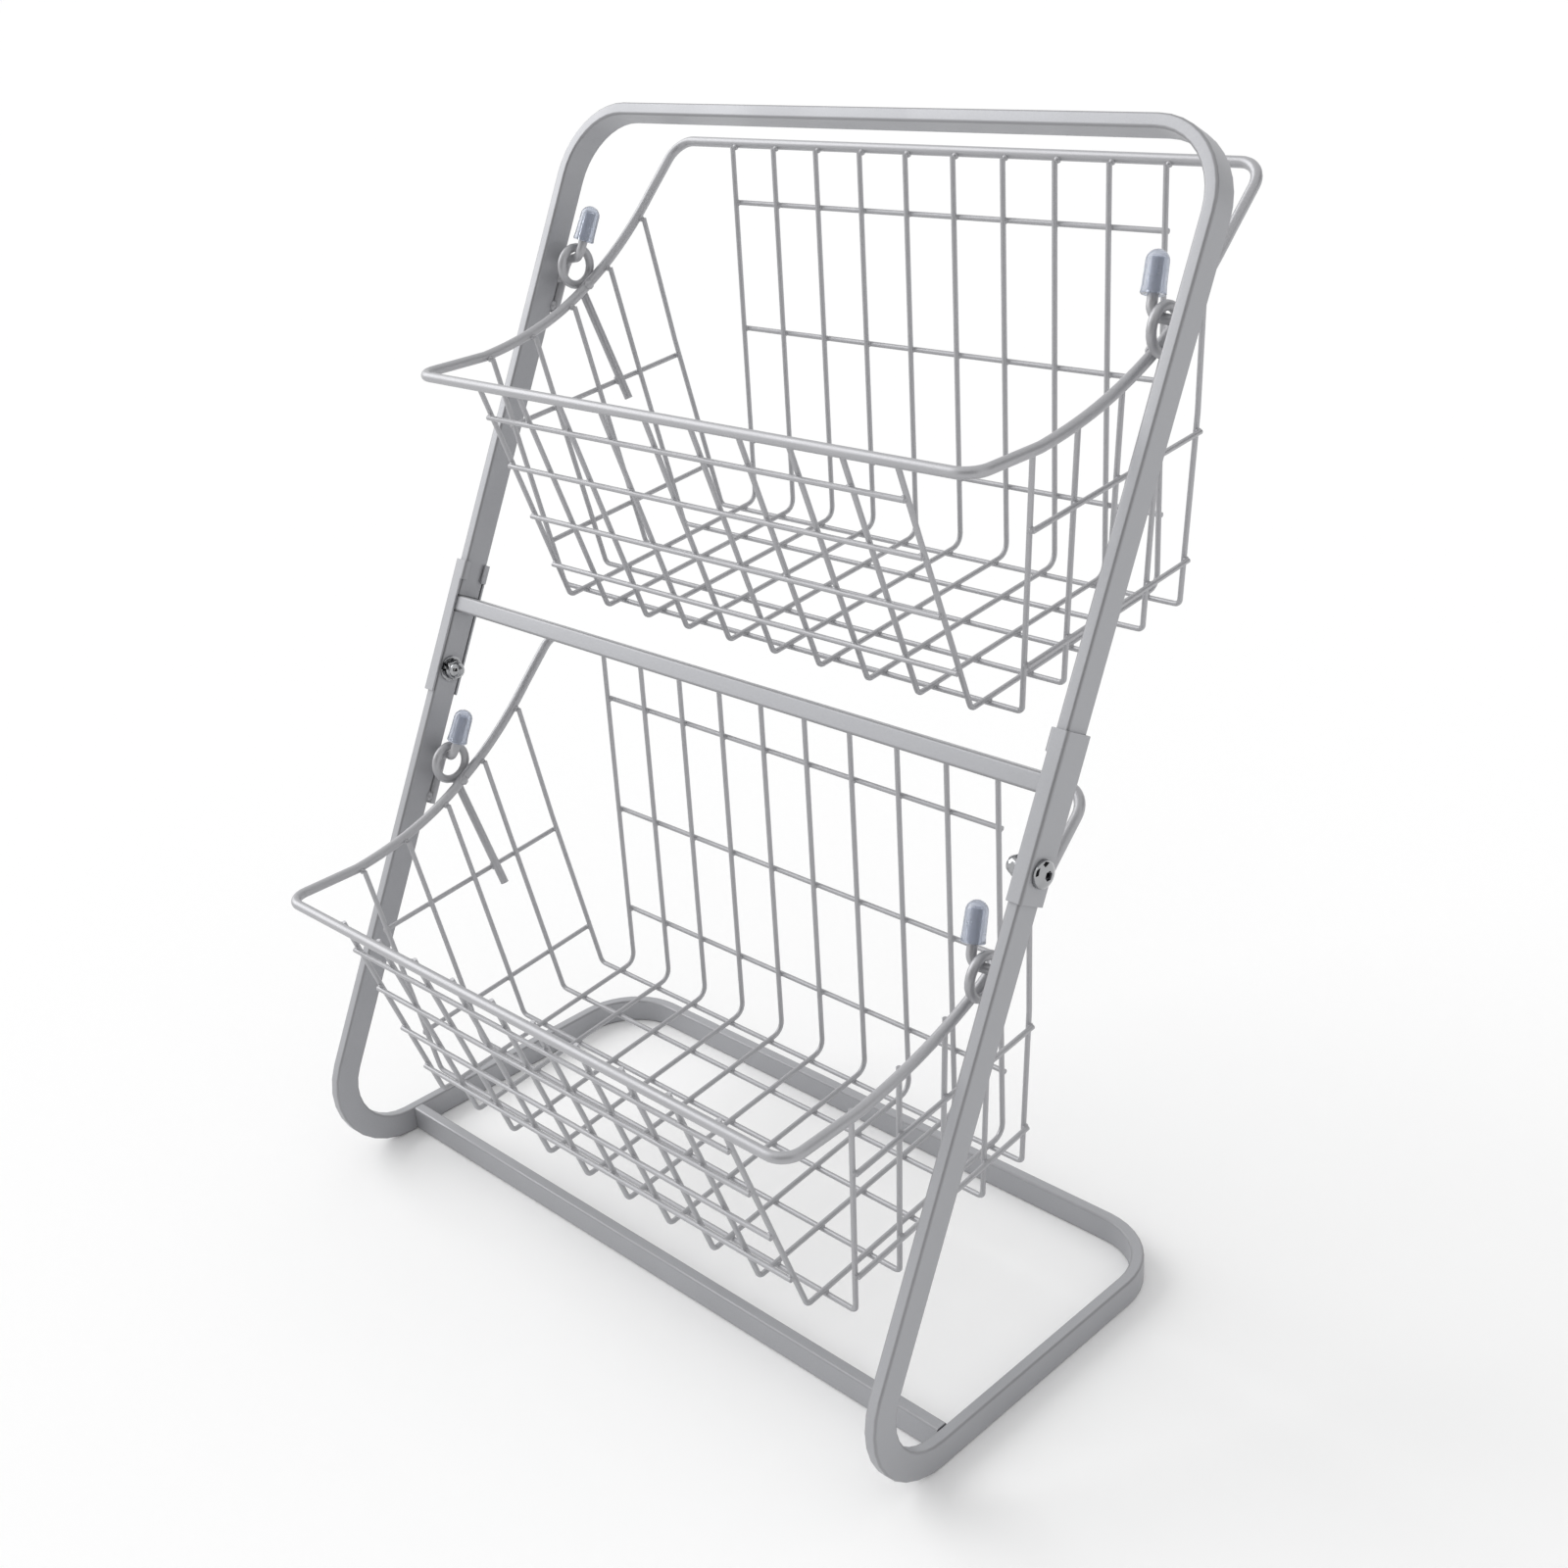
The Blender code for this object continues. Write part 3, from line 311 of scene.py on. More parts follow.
def make_tube_bender():
    """Sweeps a rounded flat section along a path whose corners carry their bend radius."""
    tree, given, out = new_tree(
        "tube_bender", "GeometryNodeTree",
        [("Path", "NodeSocketGeometry", None), ("Width", "NodeSocketFloat", 0.006),
         ("Depth", "NodeSocketFloat", 0.014), ("Edge Radius", "NodeSocketFloat", 0.001),
         ("Bend Steps", "NodeSocketInt", 10), ("Coat", "NodeSocketMaterial", None)],
        [("Tube", "NodeSocketGeometry")])
    asked = given.outputs
    line = add_node(tree, "GeometryNodeMeshToCurve", {"Mesh": asked["Path"]})
    section = add_node(tree, "GeometryNodeCurvePrimitiveQuadrilateral",
                       {"Width": asked["Width"], "Height": asked["Depth"]})
    rounding = add_node(tree, "GeometryNodeFilletCurve", {
        "Curve": section.outputs["Curve"], "Count": TUBE_EDGE_STEPS,
        "Radius": asked["Edge Radius"]}, mode="POLY")
    # The section's rounded corners are marked for painted shade: the coat darkens them as a
    # stand-in for the dark reflection line along the tube's edges.
    way = add_node(tree, "GeometryNodeInputTangent")
    parts = add_node(tree, "ShaderNodeSeparateXYZ", {0: way.outputs["Tangent"]})
    slant = compute(tree, "ABSOLUTE", compute(tree, "MULTIPLY", parts.outputs["X"],
                                              parts.outputs["Y"]))
    mark = add_node(tree, "GeometryNodeStoreNamedAttribute", {
        "Geometry": rounding.outputs["Curve"], "Name": "edge",
        "Value": map_range(tree, slant, EDGE_SHADE_SPAN)}, data_type="FLOAT", domain="POINT")
    skin = add_node(tree, "GeometryNodeCurveToMesh", {
        "Curve": round_corners(tree, line.outputs["Curve"], asked["Bend Steps"]),
        "Profile Curve": mark.outputs["Geometry"]})
    end_tree(tree, skin.outputs["Mesh"], asked["Coat"], out)
    return tree


tube_bender = make_tube_bender()


def path_object(name, chains):
    """Wire or tube paths as chains of edges. A chain lists (place, bend radius) and may close."""
    points, bends, edges = [], [], []
    for chain, closed in chains:
        start = len(points)
        for place, bend in chain:
            points.append(place)
            bends.append(bend)
        last = len(points) - 1
        edges += [(i, i + 1) for i in range(start, last)]
        if closed:
            edges.append((last, start))
    mesh = bpy.data.meshes.new(name)
    mesh.from_pydata(points, edges, [])
    attribute = mesh.attributes.new("bend", "FLOAT", "POINT")
    attribute.data.foreach_set("value", bends)
    item = bpy.data.objects.new(name, mesh)
    bpy.context.scene.collection.objects.link(item)
    return item


def set_inputs(item, tree, values):
    """Put a tree on an object, with its inputs set by the sockets' identifiers."""
    modifier = item.modifiers.new(tree.name, "NODES")
    modifier.node_group = tree
    for socket in tree.interface.items_tree:
        if socket.item_type == "SOCKET" and socket.name in values:
            modifier[socket.identifier] = values[socket.name]


def plain_mesh(item):
    """Make the evaluated result a plain mesh and take the modifiers off."""
    current = bpy.context.evaluated_depsgraph_get()
    mesh = bpy.data.meshes.new_from_object(item.evaluated_get(current),
                                           preserve_all_data_layers=True, depsgraph=current)
    mesh.name = item.name
    item.modifiers.clear()
    item.data = mesh
    return mesh


def finish_piece(item, matrix, body, replaced, sharp=SHARP_FROM, flats=False):
    """Make the piece a plain mesh in its place, on its body. Flats stay even between bends."""
    mesh = plain_mesh(item)
    mesh.transform(matrix)
    mesh.shade_smooth()
    mesh.set_sharp_from_angle(angle=sharp)
    if flats:
        even = item.modifiers.new("even_flats", "WEIGHTED_NORMAL")
        even.keep_sharp = True
        plain_mesh(item)
    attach(item, body)
    if replaced:
        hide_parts(*replaced)


def bend_tube(name, chain, width, depth, matrix, body, node):
    """A finished piece of tube with its wall, open at both ends."""
    item = path_object(name, [(chain, False)])
    set_inputs(item, tube_bender, {"Width": width, "Depth": depth, "Edge Radius": TUBE_EDGE,
                                   "Bend Steps": TUBE_BEND_STEPS, "Coat": tube_coat})
    wall = item.modifiers.new("wall", "SOLIDIFY")
    wall.thickness = TUBE_WALL
    wall.offset = -1.0
    finish_piece(item, matrix, body, [node], flats=True)


def mirrored(chain):
    """The same chain on the other side, in the other order."""
    return [(Vector((-place.x, place.y, place.z)), bend) for place, bend in reversed(chain)]


half_deep = TUBE_DEEP / 2
foot_along = half_deep * (1.0 + math.sin(FRAME_LEAN)) / math.cos(FRAME_LEAN)
upright_top = lean @ Vector((UPRIGHT_X, half_deep, MIDDLE_BAR_ALONG - SEAT_GAP))
foot_corner = lean @ Vector((UPRIGHT_X, half_deep, foot_along))
right_half = [(upright_top, 0.0), (foot_corner, FOOT_BEND - half_deep),
              (Vector((UPRIGHT_X, 0.0, half_deep)), BASE_BEND - TUBE_THIN / 2)]
bend_tube("frame_uprights_and_base", right_half + mirrored(right_half), TUBE_THIN, TUBE_DEEP,
          Matrix.Identity(4), "frame", "lower_frame")

# Front bar and middle bar
# Two straight flat steel tubes that hold the sides apart: one behind the feet, low on the floor,
# and one on the uprights' upper ends. Both are welded in before coating.
FRONT_BAR_INSET = 0.0030
MIDDLE_BAR_HEIGHT = 0.0085
FOOT_REACH = 0.068672

front_bar_y = FRONT_LINE_Y + FOOT_REACH + FRONT_BAR_INSET + TUBE_THIN / 2
front_bar_end = Vector((INNER_FACE_X - SEAT_GAP, front_bar_y, half_deep))
front_bar = [(front_bar_end, 0.0)]
bend_tube("frame_front_bar", mirrored(front_bar) + front_bar, TUBE_THIN, TUBE_DEEP,
          Matrix.Identity(4), "frame", "front_bar")
middle_along = MIDDLE_BAR_ALONG + MIDDLE_BAR_HEIGHT / 2
middle_bar = [(Vector((FRAME_WIDTH / 2 - SEAT_GAP, half_deep, middle_along)), 0.0)]
bend_tube("frame_middle_bar", mirrored(middle_bar) + middle_bar, TUBE_DEEP, MIDDLE_BAR_HEIGHT,
          lean, "frame", "middle_bar")

# Channel sleeves
# A folded strip of sheet steel around each upright's outer, front and back faces. Two short lips
# at its top close round the hoop's leg. It is bolted to the upright near its lower end.
SLEEVE_LOW = 0.279545
SLEEVE_TOP = 0.350926
SLEEVE_WALL = 0.0012
SLEEVE_FOLD = 0.0016
LIP_LENGTH = 0.0100
LIP_WIDTH = 0.0026
LIP_CHAMFER = 0.0012
LIP_RIM = 0.0006
SLEEVE_EDGE = 0.0003
SLEEVE_EDGE_STEPS = 2
SLEEVE_EDGE_FROM = math.radians(40.0)
FOLD_STEPS = 4


def folded_corner(centre, radius, start):
    """A quarter turn of (x, y, mark). The mark is 1 at the middle, where painted shade darkens the
    fold as its dark reflection line.
    """
    points = []
    for i in range(FOLD_STEPS + 1):
        turn = start + math.pi / 2 * i / FOLD_STEPS
        points.append((centre[0] + radius * math.cos(turn), centre[1] + radius * math.sin(turn),
                       1.0 - abs(2 * i / FOLD_STEPS - 1)))
    return points


def sleeve_lines():
    """The channel's and the lips' lines through the sheet's middle: x outwards, y to the back."""
    half_wall = SLEEVE_WALL / 2
    web_x = FRAME_WIDTH / 2 + SEAT_GAP + half_wall
    front_y = -SEAT_GAP - half_wall
    lip_x = INNER_FACE_X - SEAT_GAP - half_wall
    radius = SLEEVE_FOLD - half_wall
    channel = [(lip_x + radius, front_y, 0.0)]
    channel += folded_corner((web_x - radius, front_y + radius), radius, 1.5 * math.pi)
    channel += [(x, TUBE_DEEP - y, mark) for x, y, mark in reversed(channel)]
    # The lip's free edge is marked 1: a painted shadow line for the gap between lip and leg.
    lip = [(lip_x, LIP_WIDTH, 1.0), (lip_x, LIP_WIDTH - LIP_RIM, 0.0)]
    lip += folded_corner((lip_x + radius, front_y + radius), radius, math.pi)
    return channel, lip, [(x, TUBE_DEEP - y, mark) for x, y, mark in lip]


def sheet_strip(bm, line, heights, side, last_column=None):
    """Faces between rows of a folded line. A column shared with another strip is passed in."""
    # Each vertex keeps its mark in the edge layer, which the coat paints as shade.
    edge = bm.verts.layers.float["edge"]
    columns = []
    for i, (x, y, mark) in enumerate(line):
        if i == len(line) - 1 and last_column:
            columns.append(last_column)
            continue
        columns.append([bm.verts.new((side * x, y, height)) for height in heights])
        for vert in columns[-1]:
            vert[edge] = mark
    for here, there in zip(columns, columns[1:]):
        for low in range(len(heights) - 1):
            bm.faces.new((here[low], there[low], there[low + 1], here[low + 1]))
    return columns


def piece_from(bm, name, material):
    bmesh.ops.recalc_face_normals(bm, faces=bm.faces)
    mesh = bpy.data.meshes.new(name)
    bm.to_mesh(mesh)
    bm.free()
    mesh.materials.append(material)
    item = bpy.data.objects.new(name, mesh)
    bpy.context.scene.collection.objects.link(item)
    return item


for label, side in (("left", -1), ("right", 1)):
    bm = bmesh.new()
    bm.verts.layers.float.new("edge")
    channel, front_lip, back_lip = sleeve_lines()
    lip_low = SLEEVE_TOP - LIP_LENGTH
    columns = sheet_strip(bm, channel, (SLEEVE_LOW, lip_low, SLEEVE_TOP), side)
    for lip, root in ((front_lip, columns[0]), (back_lip, columns[-1])):
        tab = sheet_strip(bm, lip, (lip_low, SLEEVE_TOP), side, last_column=root[1:])
        tab[0][0].co.z += LIP_CHAMFER
    sleeve = piece_from(bm, f"frame_{label}_sleeve", tube_coat)
    wall = sleeve.modifiers.new("wall", "SOLIDIFY")
    wall.thickness = SLEEVE_WALL
    wall.offset = 0.0
    wall.use_even_offset = True
    rounding = sleeve.modifiers.new("rounding", "BEVEL")
    rounding.width = SLEEVE_EDGE
    rounding.segments = SLEEVE_EDGE_STEPS
    rounding.limit_method = "ANGLE"
    rounding.angle_limit = SLEEVE_EDGE_FROM
    finish_piece(sleeve, lean, "frame", [f"{label}_sleeve"], flats=True)

# Screws, washers and domed nuts
# Chromed steel dome-head screws go in from outside. Each is held by a flat washer and a domed
# hexagon nut on the upright's inner face.
BOLT_ALONG = 0.293326
HEAD_RADIUS = 0.0062
HEAD_HEIGHT = 0.0036
HEAD_EDGE = 0.0009
HEAD_STEPS = 10
SOCKET_FLATS = 0.0040
SOCKET_DEPTH = 0.0018
SOCKET_BEVEL = 0.0001
SOCKET_RIM = 0.0004
SHANK_RADIUS = 0.0030
SHANK_END_RADIUS = 0.0028
SHANK_END_BEVEL = 0.0003
SHANK_PAST_WASHER = 0.0035
WASHER_RADIUS = 0.0068
WASHER_THICKNESS = 0.0010
WASHER_BEVEL = 0.0002
NUT_CORNER = 0.0055
NUT_BEVEL = 0.0004
NUT_FOOT_INSET = 0.0005
NUT_SHOULDER = 0.0006
NUT_BASE = 0.0030
NUT_DOME = 0.0044
NUT_DOME_GAP = 0.0001
NUT_DOME_STEPS = 12
NUT_HEIGHT = 0.0075
NUT_CROWN = 0.0015
BORE_RADIUS = 0.0034
CHROME_TONE = (0.37, 0.375, 0.385)
CHROME_ROUGHNESS = (0.06, 0.16)
CHROME_SMUDGE_SCALE = 300.0
CHROME_GRAIN_DEPTH = 0.00001
SMUDGE_DETAIL = 4.0
SMUDGE_SPAN = (0.4, 0.7)
FINE_GRAIN_SCALE = 1500.0
FINE_GRAIN_BUMP = 0.4
LATHE_STEPS = 48


def make_handling():
    """Faint smudges and a fine grain: a slow change of roughness and a fast one of height."""
    tree, given, out = new_tree(
        "handling", "ShaderNodeTree",
        [("Clean Roughness", "NodeSocketFloat", 0.08), ("Smudge Roughness", "NodeSocketFloat", 0.2),
         ("Smudge Scale", "NodeSocketFloat", 160.0)],
        [("Roughness", "NodeSocketFloat"), ("Height", "NodeSocketFloat")])
    asked = given.outputs
    place = add_node(tree, "ShaderNodeTexCoord").outputs["Object"]
    smudge = add_node(tree, "ShaderNodeTexNoise", {
        "Vector": place, "Scale": asked["Smudge Scale"], "Detail": SMUDGE_DETAIL})
    fine = add_node(tree, "ShaderNodeTexNoise", {"Vector": place, "Scale": FINE_GRAIN_SCALE})
    feed(tree, out, {"Roughness": map_range(tree, smudge.outputs["Fac"], SMUDGE_SPAN,
                                            asked["Clean Roughness"], asked["Smudge Roughness"]),
                     "Height": fine.outputs["Fac"]})
    return tree


handling = make_handling()


def make_handled(name, colour, roughness, smudge_scale, grain_depth, plain):
    material, tree, shader = new_material(name, {"Base Color": (*colour, 1.0), **plain})
    wear = add_node(tree, "ShaderNodeGroup", {
        "Clean Roughness": roughness[0], "Smudge Roughness": roughness[1],
        "Smudge Scale": smudge_scale}, node_tree=handling)
    bump = add_node(tree, "ShaderNodeBump", {"Strength": FINE_GRAIN_BUMP, "Distance": grain_depth,
                                             "Height": wear.outputs["Height"]})
    feed(tree, shader, {"Roughness": wear.outputs["Roughness"],
                        "Normal": bump.outputs["Normal"]})
    return material


chrome = make_handled("fastener_chrome", CHROME_TONE, CHROME_ROUGHNESS, CHROME_SMUDGE_SCALE,
                      CHROME_GRAIN_DEPTH, {"Metallic": 1.0})


def hexagon_share(turn):
    """How far a hexagon's edge lies from its middle, as a share of its corner's distance."""
    return math.cos(math.pi / 6) / math.cos((turn % (math.pi / 3)) - math.pi / 6)


def turned_piece(name, profile, material):
    """Turn (radius, height, hexagon) points about Z, from axis to axis or round a closed ring."""
    bm = bmesh.new()
    rings = []
    closed = profile[0][0] > 0.0
    for radius, height, hexagon in profile:
        if radius == 0.0:
            rings.append([bm.verts.new((0.0, 0.0, height))])
            continue
        ring = []
        for i in range(LATHE_STEPS):
            turn = 2 * math.pi * i / LATHE_STEPS
            reach = radius * (hexagon_share(turn) if hexagon else 1.0)
            ring.append(bm.verts.new((reach * math.cos(turn), reach * math.sin(turn), height)))
        rings.append(ring)
    for here, there in zip(rings, rings[1:] + (rings[:1] if closed else [])):
        for i in range(LATHE_STEPS):
            j = (i + 1) % LATHE_STEPS
            face = [here[i % len(here)], here[j % len(here)],
                    there[j % len(there)], there[i % len(there)]]
            bm.faces.new(list(dict.fromkeys(face)))
    return piece_from(bm, name, material)


def dome(radius, low, rise, steps, stop=0.0):
    """Points of an elliptic dome from its rim up to where its radius falls to the stop."""
    limit = math.acos(stop / radius)
    turns = [limit * i / steps for i in range(steps)]
    points = [(radius * math.cos(turn), low + rise * math.sin(turn), False) for turn in turns]
    return points + [(stop, low + rise * math.sin(limit), False)]


def stand_on(side, x, inwards):
    """Place a turned piece on its face of the upright, pointing outwards or inwards."""
    towards = -side if inwards else side
    spot = Matrix.Translation((side * x, half_deep, BOLT_ALONG))
    return lean @ spot @ Matrix.Rotation(towards * math.pi / 2, 4, "Y")


socket_corner = SOCKET_FLATS / math.sqrt(3.0)
head_x = FRAME_WIDTH / 2 + SEAT_GAP + SLEEVE_WALL + SEAT_GAP
shank = head_x - INNER_FACE_X + 2 * SEAT_GAP + WASHER_THICKNESS + SHANK_PAST_WASHER
head = dome(HEAD_RADIUS, HEAD_EDGE, HEAD_HEIGHT - HEAD_EDGE, HEAD_STEPS,
            stop=socket_corner + SOCKET_RIM)
rim_height = head[-1][1]
head_profile = [(0.0, -shank, False), (SHANK_END_RADIUS, -shank, False),
                (SHANK_RADIUS, SHANK_END_BEVEL - shank, False), (SHANK_RADIUS, 0.0, False),
                (HEAD_RADIUS, 0.0, False)] + head
head_profile += [(socket_corner, rim_height - SOCKET_BEVEL, True),
                 (socket_corner, rim_height - SOCKET_DEPTH, True),
                 (0.0, rim_height - SOCKET_DEPTH, False)]
washer_profile = [(BORE_RADIUS, 0.0, False), (WASHER_RADIUS - WASHER_BEVEL, 0.0, False),
                  (WASHER_RADIUS, WASHER_BEVEL, False),
                  (WASHER_RADIUS, WASHER_THICKNESS - WASHER_BEVEL, False),
                  (WASHER_RADIUS - WASHER_BEVEL, WASHER_THICKNESS, False),
                  (BORE_RADIUS, WASHER_THICKNESS, False)]
nut_profile = [(0.0, NUT_HEIGHT - NUT_CROWN, False), (BORE_RADIUS, NUT_HEIGHT - NUT_CROWN, False),
               (BORE_RADIUS, 0.0, False), (NUT_CORNER - NUT_FOOT_INSET, 0.0, False),
               (NUT_CORNER, NUT_BEVEL, True), (NUT_CORNER, NUT_BASE - NUT_BEVEL, True),
               (NUT_CORNER - NUT_SHOULDER, NUT_BASE, False)]
nut_profile += dome(NUT_DOME, NUT_BASE + NUT_DOME_GAP, NUT_HEIGHT - NUT_BASE - NUT_DOME_GAP,
                    NUT_DOME_STEPS)
for label, side in (("left", -1), ("right", 1)):
    washer_x = INNER_FACE_X - SEAT_GAP
    nut_x = washer_x - WASHER_THICKNESS - SEAT_GAP
    for node, profile, x, inwards in (("bolt", head_profile, head_x, False),
                                      ("washer", washer_profile, washer_x, True),
                                      ("nut", nut_profile, nut_x, True)):
        item = turned_piece(f"frame_{label}_{node}", profile, chrome)
        finish_piece(item, stand_on(side, x, inwards), "frame", [f"{label}_{node}"])

# Pegs
# Bent steel wire, welded to the back face of each upright and of each leg of the hoop. A leg runs
# up the face, turns in to carry a basket's ring, and turns up again into a tip.
PEG_WIRE = 0.0046
PEG_LEG = 0.0290
PEG_INSET = 0.0008
PEG_REACH = 0.0168
PEG_FORWARD = 0.0065
PEG_TIP = 0.0226
PEG_TIP_LEAN = math.radians(23.0)
PEG_TIP_SPLAY = math.radians(6.5)
PEG_BEND = 0.0052
PEG_BEND_STEPS = 10
PEG_FACETS = 20
TIERS = (("lower", 0.248475, "frame"), ("upper", 0.517961, "hoop"))
WIRE_COAT = (0.412, 0.413, 0.429)
# Painted shade colour for marked edges; no wire piece carries the mark, so it stays unused.
WIRE_EDGE_PAINTED_SHADE = (0.33, 0.33, 0.34)
WIRE_PEEL_SCALE = 800.0
WIRE_PEEL_DEPTH = 0.00004
WIRE_ROUGHNESS = (0.34, 0.46)

wire_coat = make_coat("wire_powder_coat", WIRE_COAT, WIRE_EDGE_PAINTED_SHADE, WIRE_PEEL_SCALE,
                      WIRE_ROUGHNESS, WIRE_PEEL_DEPTH)


def make_wire_bender():
    """Sweeps a round wire along a path, or along a row of copies of it."""
    tree, given, out = new_tree(
        "wire_bender", "GeometryNodeTree",
        [("Path", "NodeSocketGeometry", None), ("Diameter", "NodeSocketFloat", 0.003),
         ("Facets", "NodeSocketInt", 12), ("Bend Steps", "NodeSocketInt", 6),
         ("Count", "NodeSocketInt", 1), ("Spacing", "NodeSocketVector", (0.0, 0.0, 0.0)),
         ("Coat", "NodeSocketMaterial", None)],
        [("Wire", "NodeSocketGeometry")])
    asked = given.outputs
    line = add_node(tree, "GeometryNodeMeshToCurve", {"Mesh": asked["Path"]})
    row = add_node(tree, "GeometryNodeMeshLine", {"Count": asked["Count"],
                                                  "Offset": asked["Spacing"]})
    copies = add_node(tree, "GeometryNodeInstanceOnPoints", {
        "Points": row.outputs["Mesh"], "Instance": line.outputs["Curve"]})
    curves = add_node(tree, "GeometryNodeRealizeInstances",
                      {"Geometry": copies.outputs["Instances"]})
    section = add_node(tree, "GeometryNodeCurvePrimitiveCircle", {
        "Resolution": asked["Facets"], "Radius": compute(tree, "MULTIPLY", asked["Diameter"], 0.5)})
    skin = add_node(tree, "GeometryNodeCurveToMesh", {
        "Curve": round_corners(tree, curves.outputs["Geometry"], asked["Bend Steps"]),
        "Profile Curve": section.outputs["Curve"], "Fill Caps": True})
    end_tree(tree, skin.outputs["Mesh"], asked["Coat"], out)
    return tree


wire_bender = make_wire_bender()


def bend_wire(name, chains, diameter, facets, bend_steps, matrix, body, replaced, **row):
    """A finished piece of solid wire. Count and Spacing repeat it as a row."""
    item = path_object(name, chains)
    set_inputs(item, wire_bender, {"Diameter": diameter, "Facets": facets,
                                   "Bend Steps": bend_steps, "Coat": wire_coat, **row})
    finish_piece(item, matrix, body, replaced)


def peg_corners(side, along):
    behind = TUBE_DEEP + SEAT_GAP + PEG_WIRE / 2
    leg_x = INNER_FACE_X + PEG_INSET
    tip_turn = FRAME_LEAN - PEG_TIP_LEAN
    run_end = Vector((side * (leg_x - PEG_REACH), behind - PEG_FORWARD, along))
    upwards = Vector((0.0, -math.sin(tip_turn), math.cos(tip_turn))) * math.cos(PEG_TIP_SPLAY)
    tip = run_end + (upwards - Vector((side * math.sin(PEG_TIP_SPLAY), 0.0, 0.0))) * PEG_TIP
    return [Vector((side * leg_x, behind, along - PEG_LEG)), Vector((side * leg_x, behind, along)),
            run_end, tip]


for tier, along, body in TIERS:
    for label, side in (("left", -1), ("right", 1)):
        corners = peg_corners(side, along)
        chain = list(zip(corners, (0.0, PEG_BEND, PEG_BEND, 0.0)))
        bend_wire(f"{tier}_{label}_peg_wire", [(chain, False)], PEG_WIRE, PEG_FACETS,
                  PEG_BEND_STEPS, lean, body, [f"{tier}_{label}_peg"])

# Peg caps
# Soft clear vinyl sleeves with a domed end, pushed over the pegs' tips so that the baskets don't
# scratch. They are a little flared at the mouth, and the wire shows through.
CAP_LENGTH = 0.0180
CAP_RADIUS = 0.0049
CAP_DOME_STEPS = 12
CAP_MOUTH = 0.0054
CAP_FLARE_INSET = 0.0003
CAP_FLARE_HEIGHT = 0.0035
CAP_LIP_INSET = 0.0004
CAP_LIP_HEIGHT = 0.0005
CAP_BORE_FLARE = 0.0003
CAP_BORE_FLARE_HEIGHT = 0.0002
CAP_BORE_END_SHARE = 0.7
CAP_BORE_END_BEVEL = 0.0007
CAP_TOP_WALL = 0.0030
CAP_START = 0.0085
VINYL_TONE = (0.62, 0.66, 0.75)
VINYL_ROUGHNESS = (0.14, 0.28)
VINYL_SMUDGE_SCALE = 220.0
VINYL_GRAIN_DEPTH = 0.00003
VINYL_CLEARNESS = 0.74
VINYL_IOR = 1.45

vinyl = make_handled("cap_vinyl", VINYL_TONE, VINYL_ROUGHNESS, VINYL_SMUDGE_SCALE,
                     VINYL_GRAIN_DEPTH, {"Transmission Weight": VINYL_CLEARNESS,
                                         "IOR": VINYL_IOR})
bore = PEG_WIRE / 2 + SEAT_GAP
bore_end = CAP_LENGTH - CAP_TOP_WALL
cap_profile = [(0.0, bore_end, False), (bore * CAP_BORE_END_SHARE, bore_end, False),
               (bore, bore_end - CAP_BORE_END_BEVEL, False), (bore, CAP_BORE_FLARE_HEIGHT, False),
               (bore + CAP_BORE_FLARE, 0.0, False), (CAP_MOUTH - CAP_LIP_INSET, 0.0, False),
               (CAP_MOUTH, CAP_LIP_HEIGHT, False),
               (CAP_MOUTH - CAP_FLARE_INSET, CAP_FLARE_HEIGHT, False)]
cap_profile += dome(CAP_RADIUS, CAP_LENGTH - CAP_RADIUS, CAP_RADIUS, CAP_DOME_STEPS)
for tier, along, body in TIERS:
    for label, side in (("left", -1), ("right", 1)):
        corners = peg_corners(side, along)
        tip_way = (corners[3] - corners[2]).normalized()
        spot = Matrix.Translation(corners[2] + tip_way * CAP_START)
        stand = lean @ spot @ tip_way.to_track_quat("Z", "Y").to_matrix().to_4x4()
        item = turned_piece(f"{tier}_{label}_peg_cap", cap_profile, vinyl)
        finish_piece(item, stand, body, [f"{tier}_{label}_cap"])

# Hoop
# The removable upper part: one bent flat steel tube with two legs and a top bar. Its open legs
# stand on the middle bar, held by the sleeves and their lips.
HOOP_REACH = 0.596015
HOOP_BEND = 0.038
hoop_foot = MIDDLE_BAR_ALONG + MIDDLE_BAR_HEIGHT + SEAT_GAP
hoop_top = HOOP_REACH - TUBE_THIN / 2
hoop_bend = HOOP_BEND - TUBE_THIN / 2
hoop_half = [(Vector((UPRIGHT_X, half_deep, hoop_foot)), 0.0),
             (Vector((UPRIGHT_X, half_deep, hoop_top)), hoop_bend)]
bend_tube("hoop_tube", hoop_half + mirrored(hoop_half), TUBE_THIN, TUBE_DEEP, lean, "hoop", "hoop")

# Basket rims
# A thick closed steel wire around each basket's mouth, low in front and sweeping up to the back,
# bent at its four corners and butt welded. The grid wires end against its inner side.
BASKET_TILT = math.radians(6.6)
HINGES = {"upper": (0.0, 0.0085, 0.45552), "lower": (0.0, -0.11426, 0.21562)}
HINGE_IN_BASKET = Vector((0.0, 0.0847, 0.1476))
RIM_WIRE = 0.0050
GRID_WIRE = 0.0026
FLOOR_HALF_WIDTH = 0.15255
FLOOR_DEPTH = 0.1370
SIDE_SLOPE = 0.157
FRONT_SLOPE = 0.216
BACK_SLOPE = 0.134
FRONT_RIM_HEIGHT = 0.1232
SIDE_RIM_HEIGHT = 0.1195
BACK_RIM_HEIGHT = 0.1877
SIDE_RISE_START = 0.0050
SIDE_RISE_POWER = 2.3
SIDE_TURN_HEIGHT = 0.1350
UPPER_SIDE_SLOPE = 0.036
RIM_FRONT_BEND = 0.0095
RIM_BACK_BEND = 0.0115
RIM_BEND_STEPS = 10
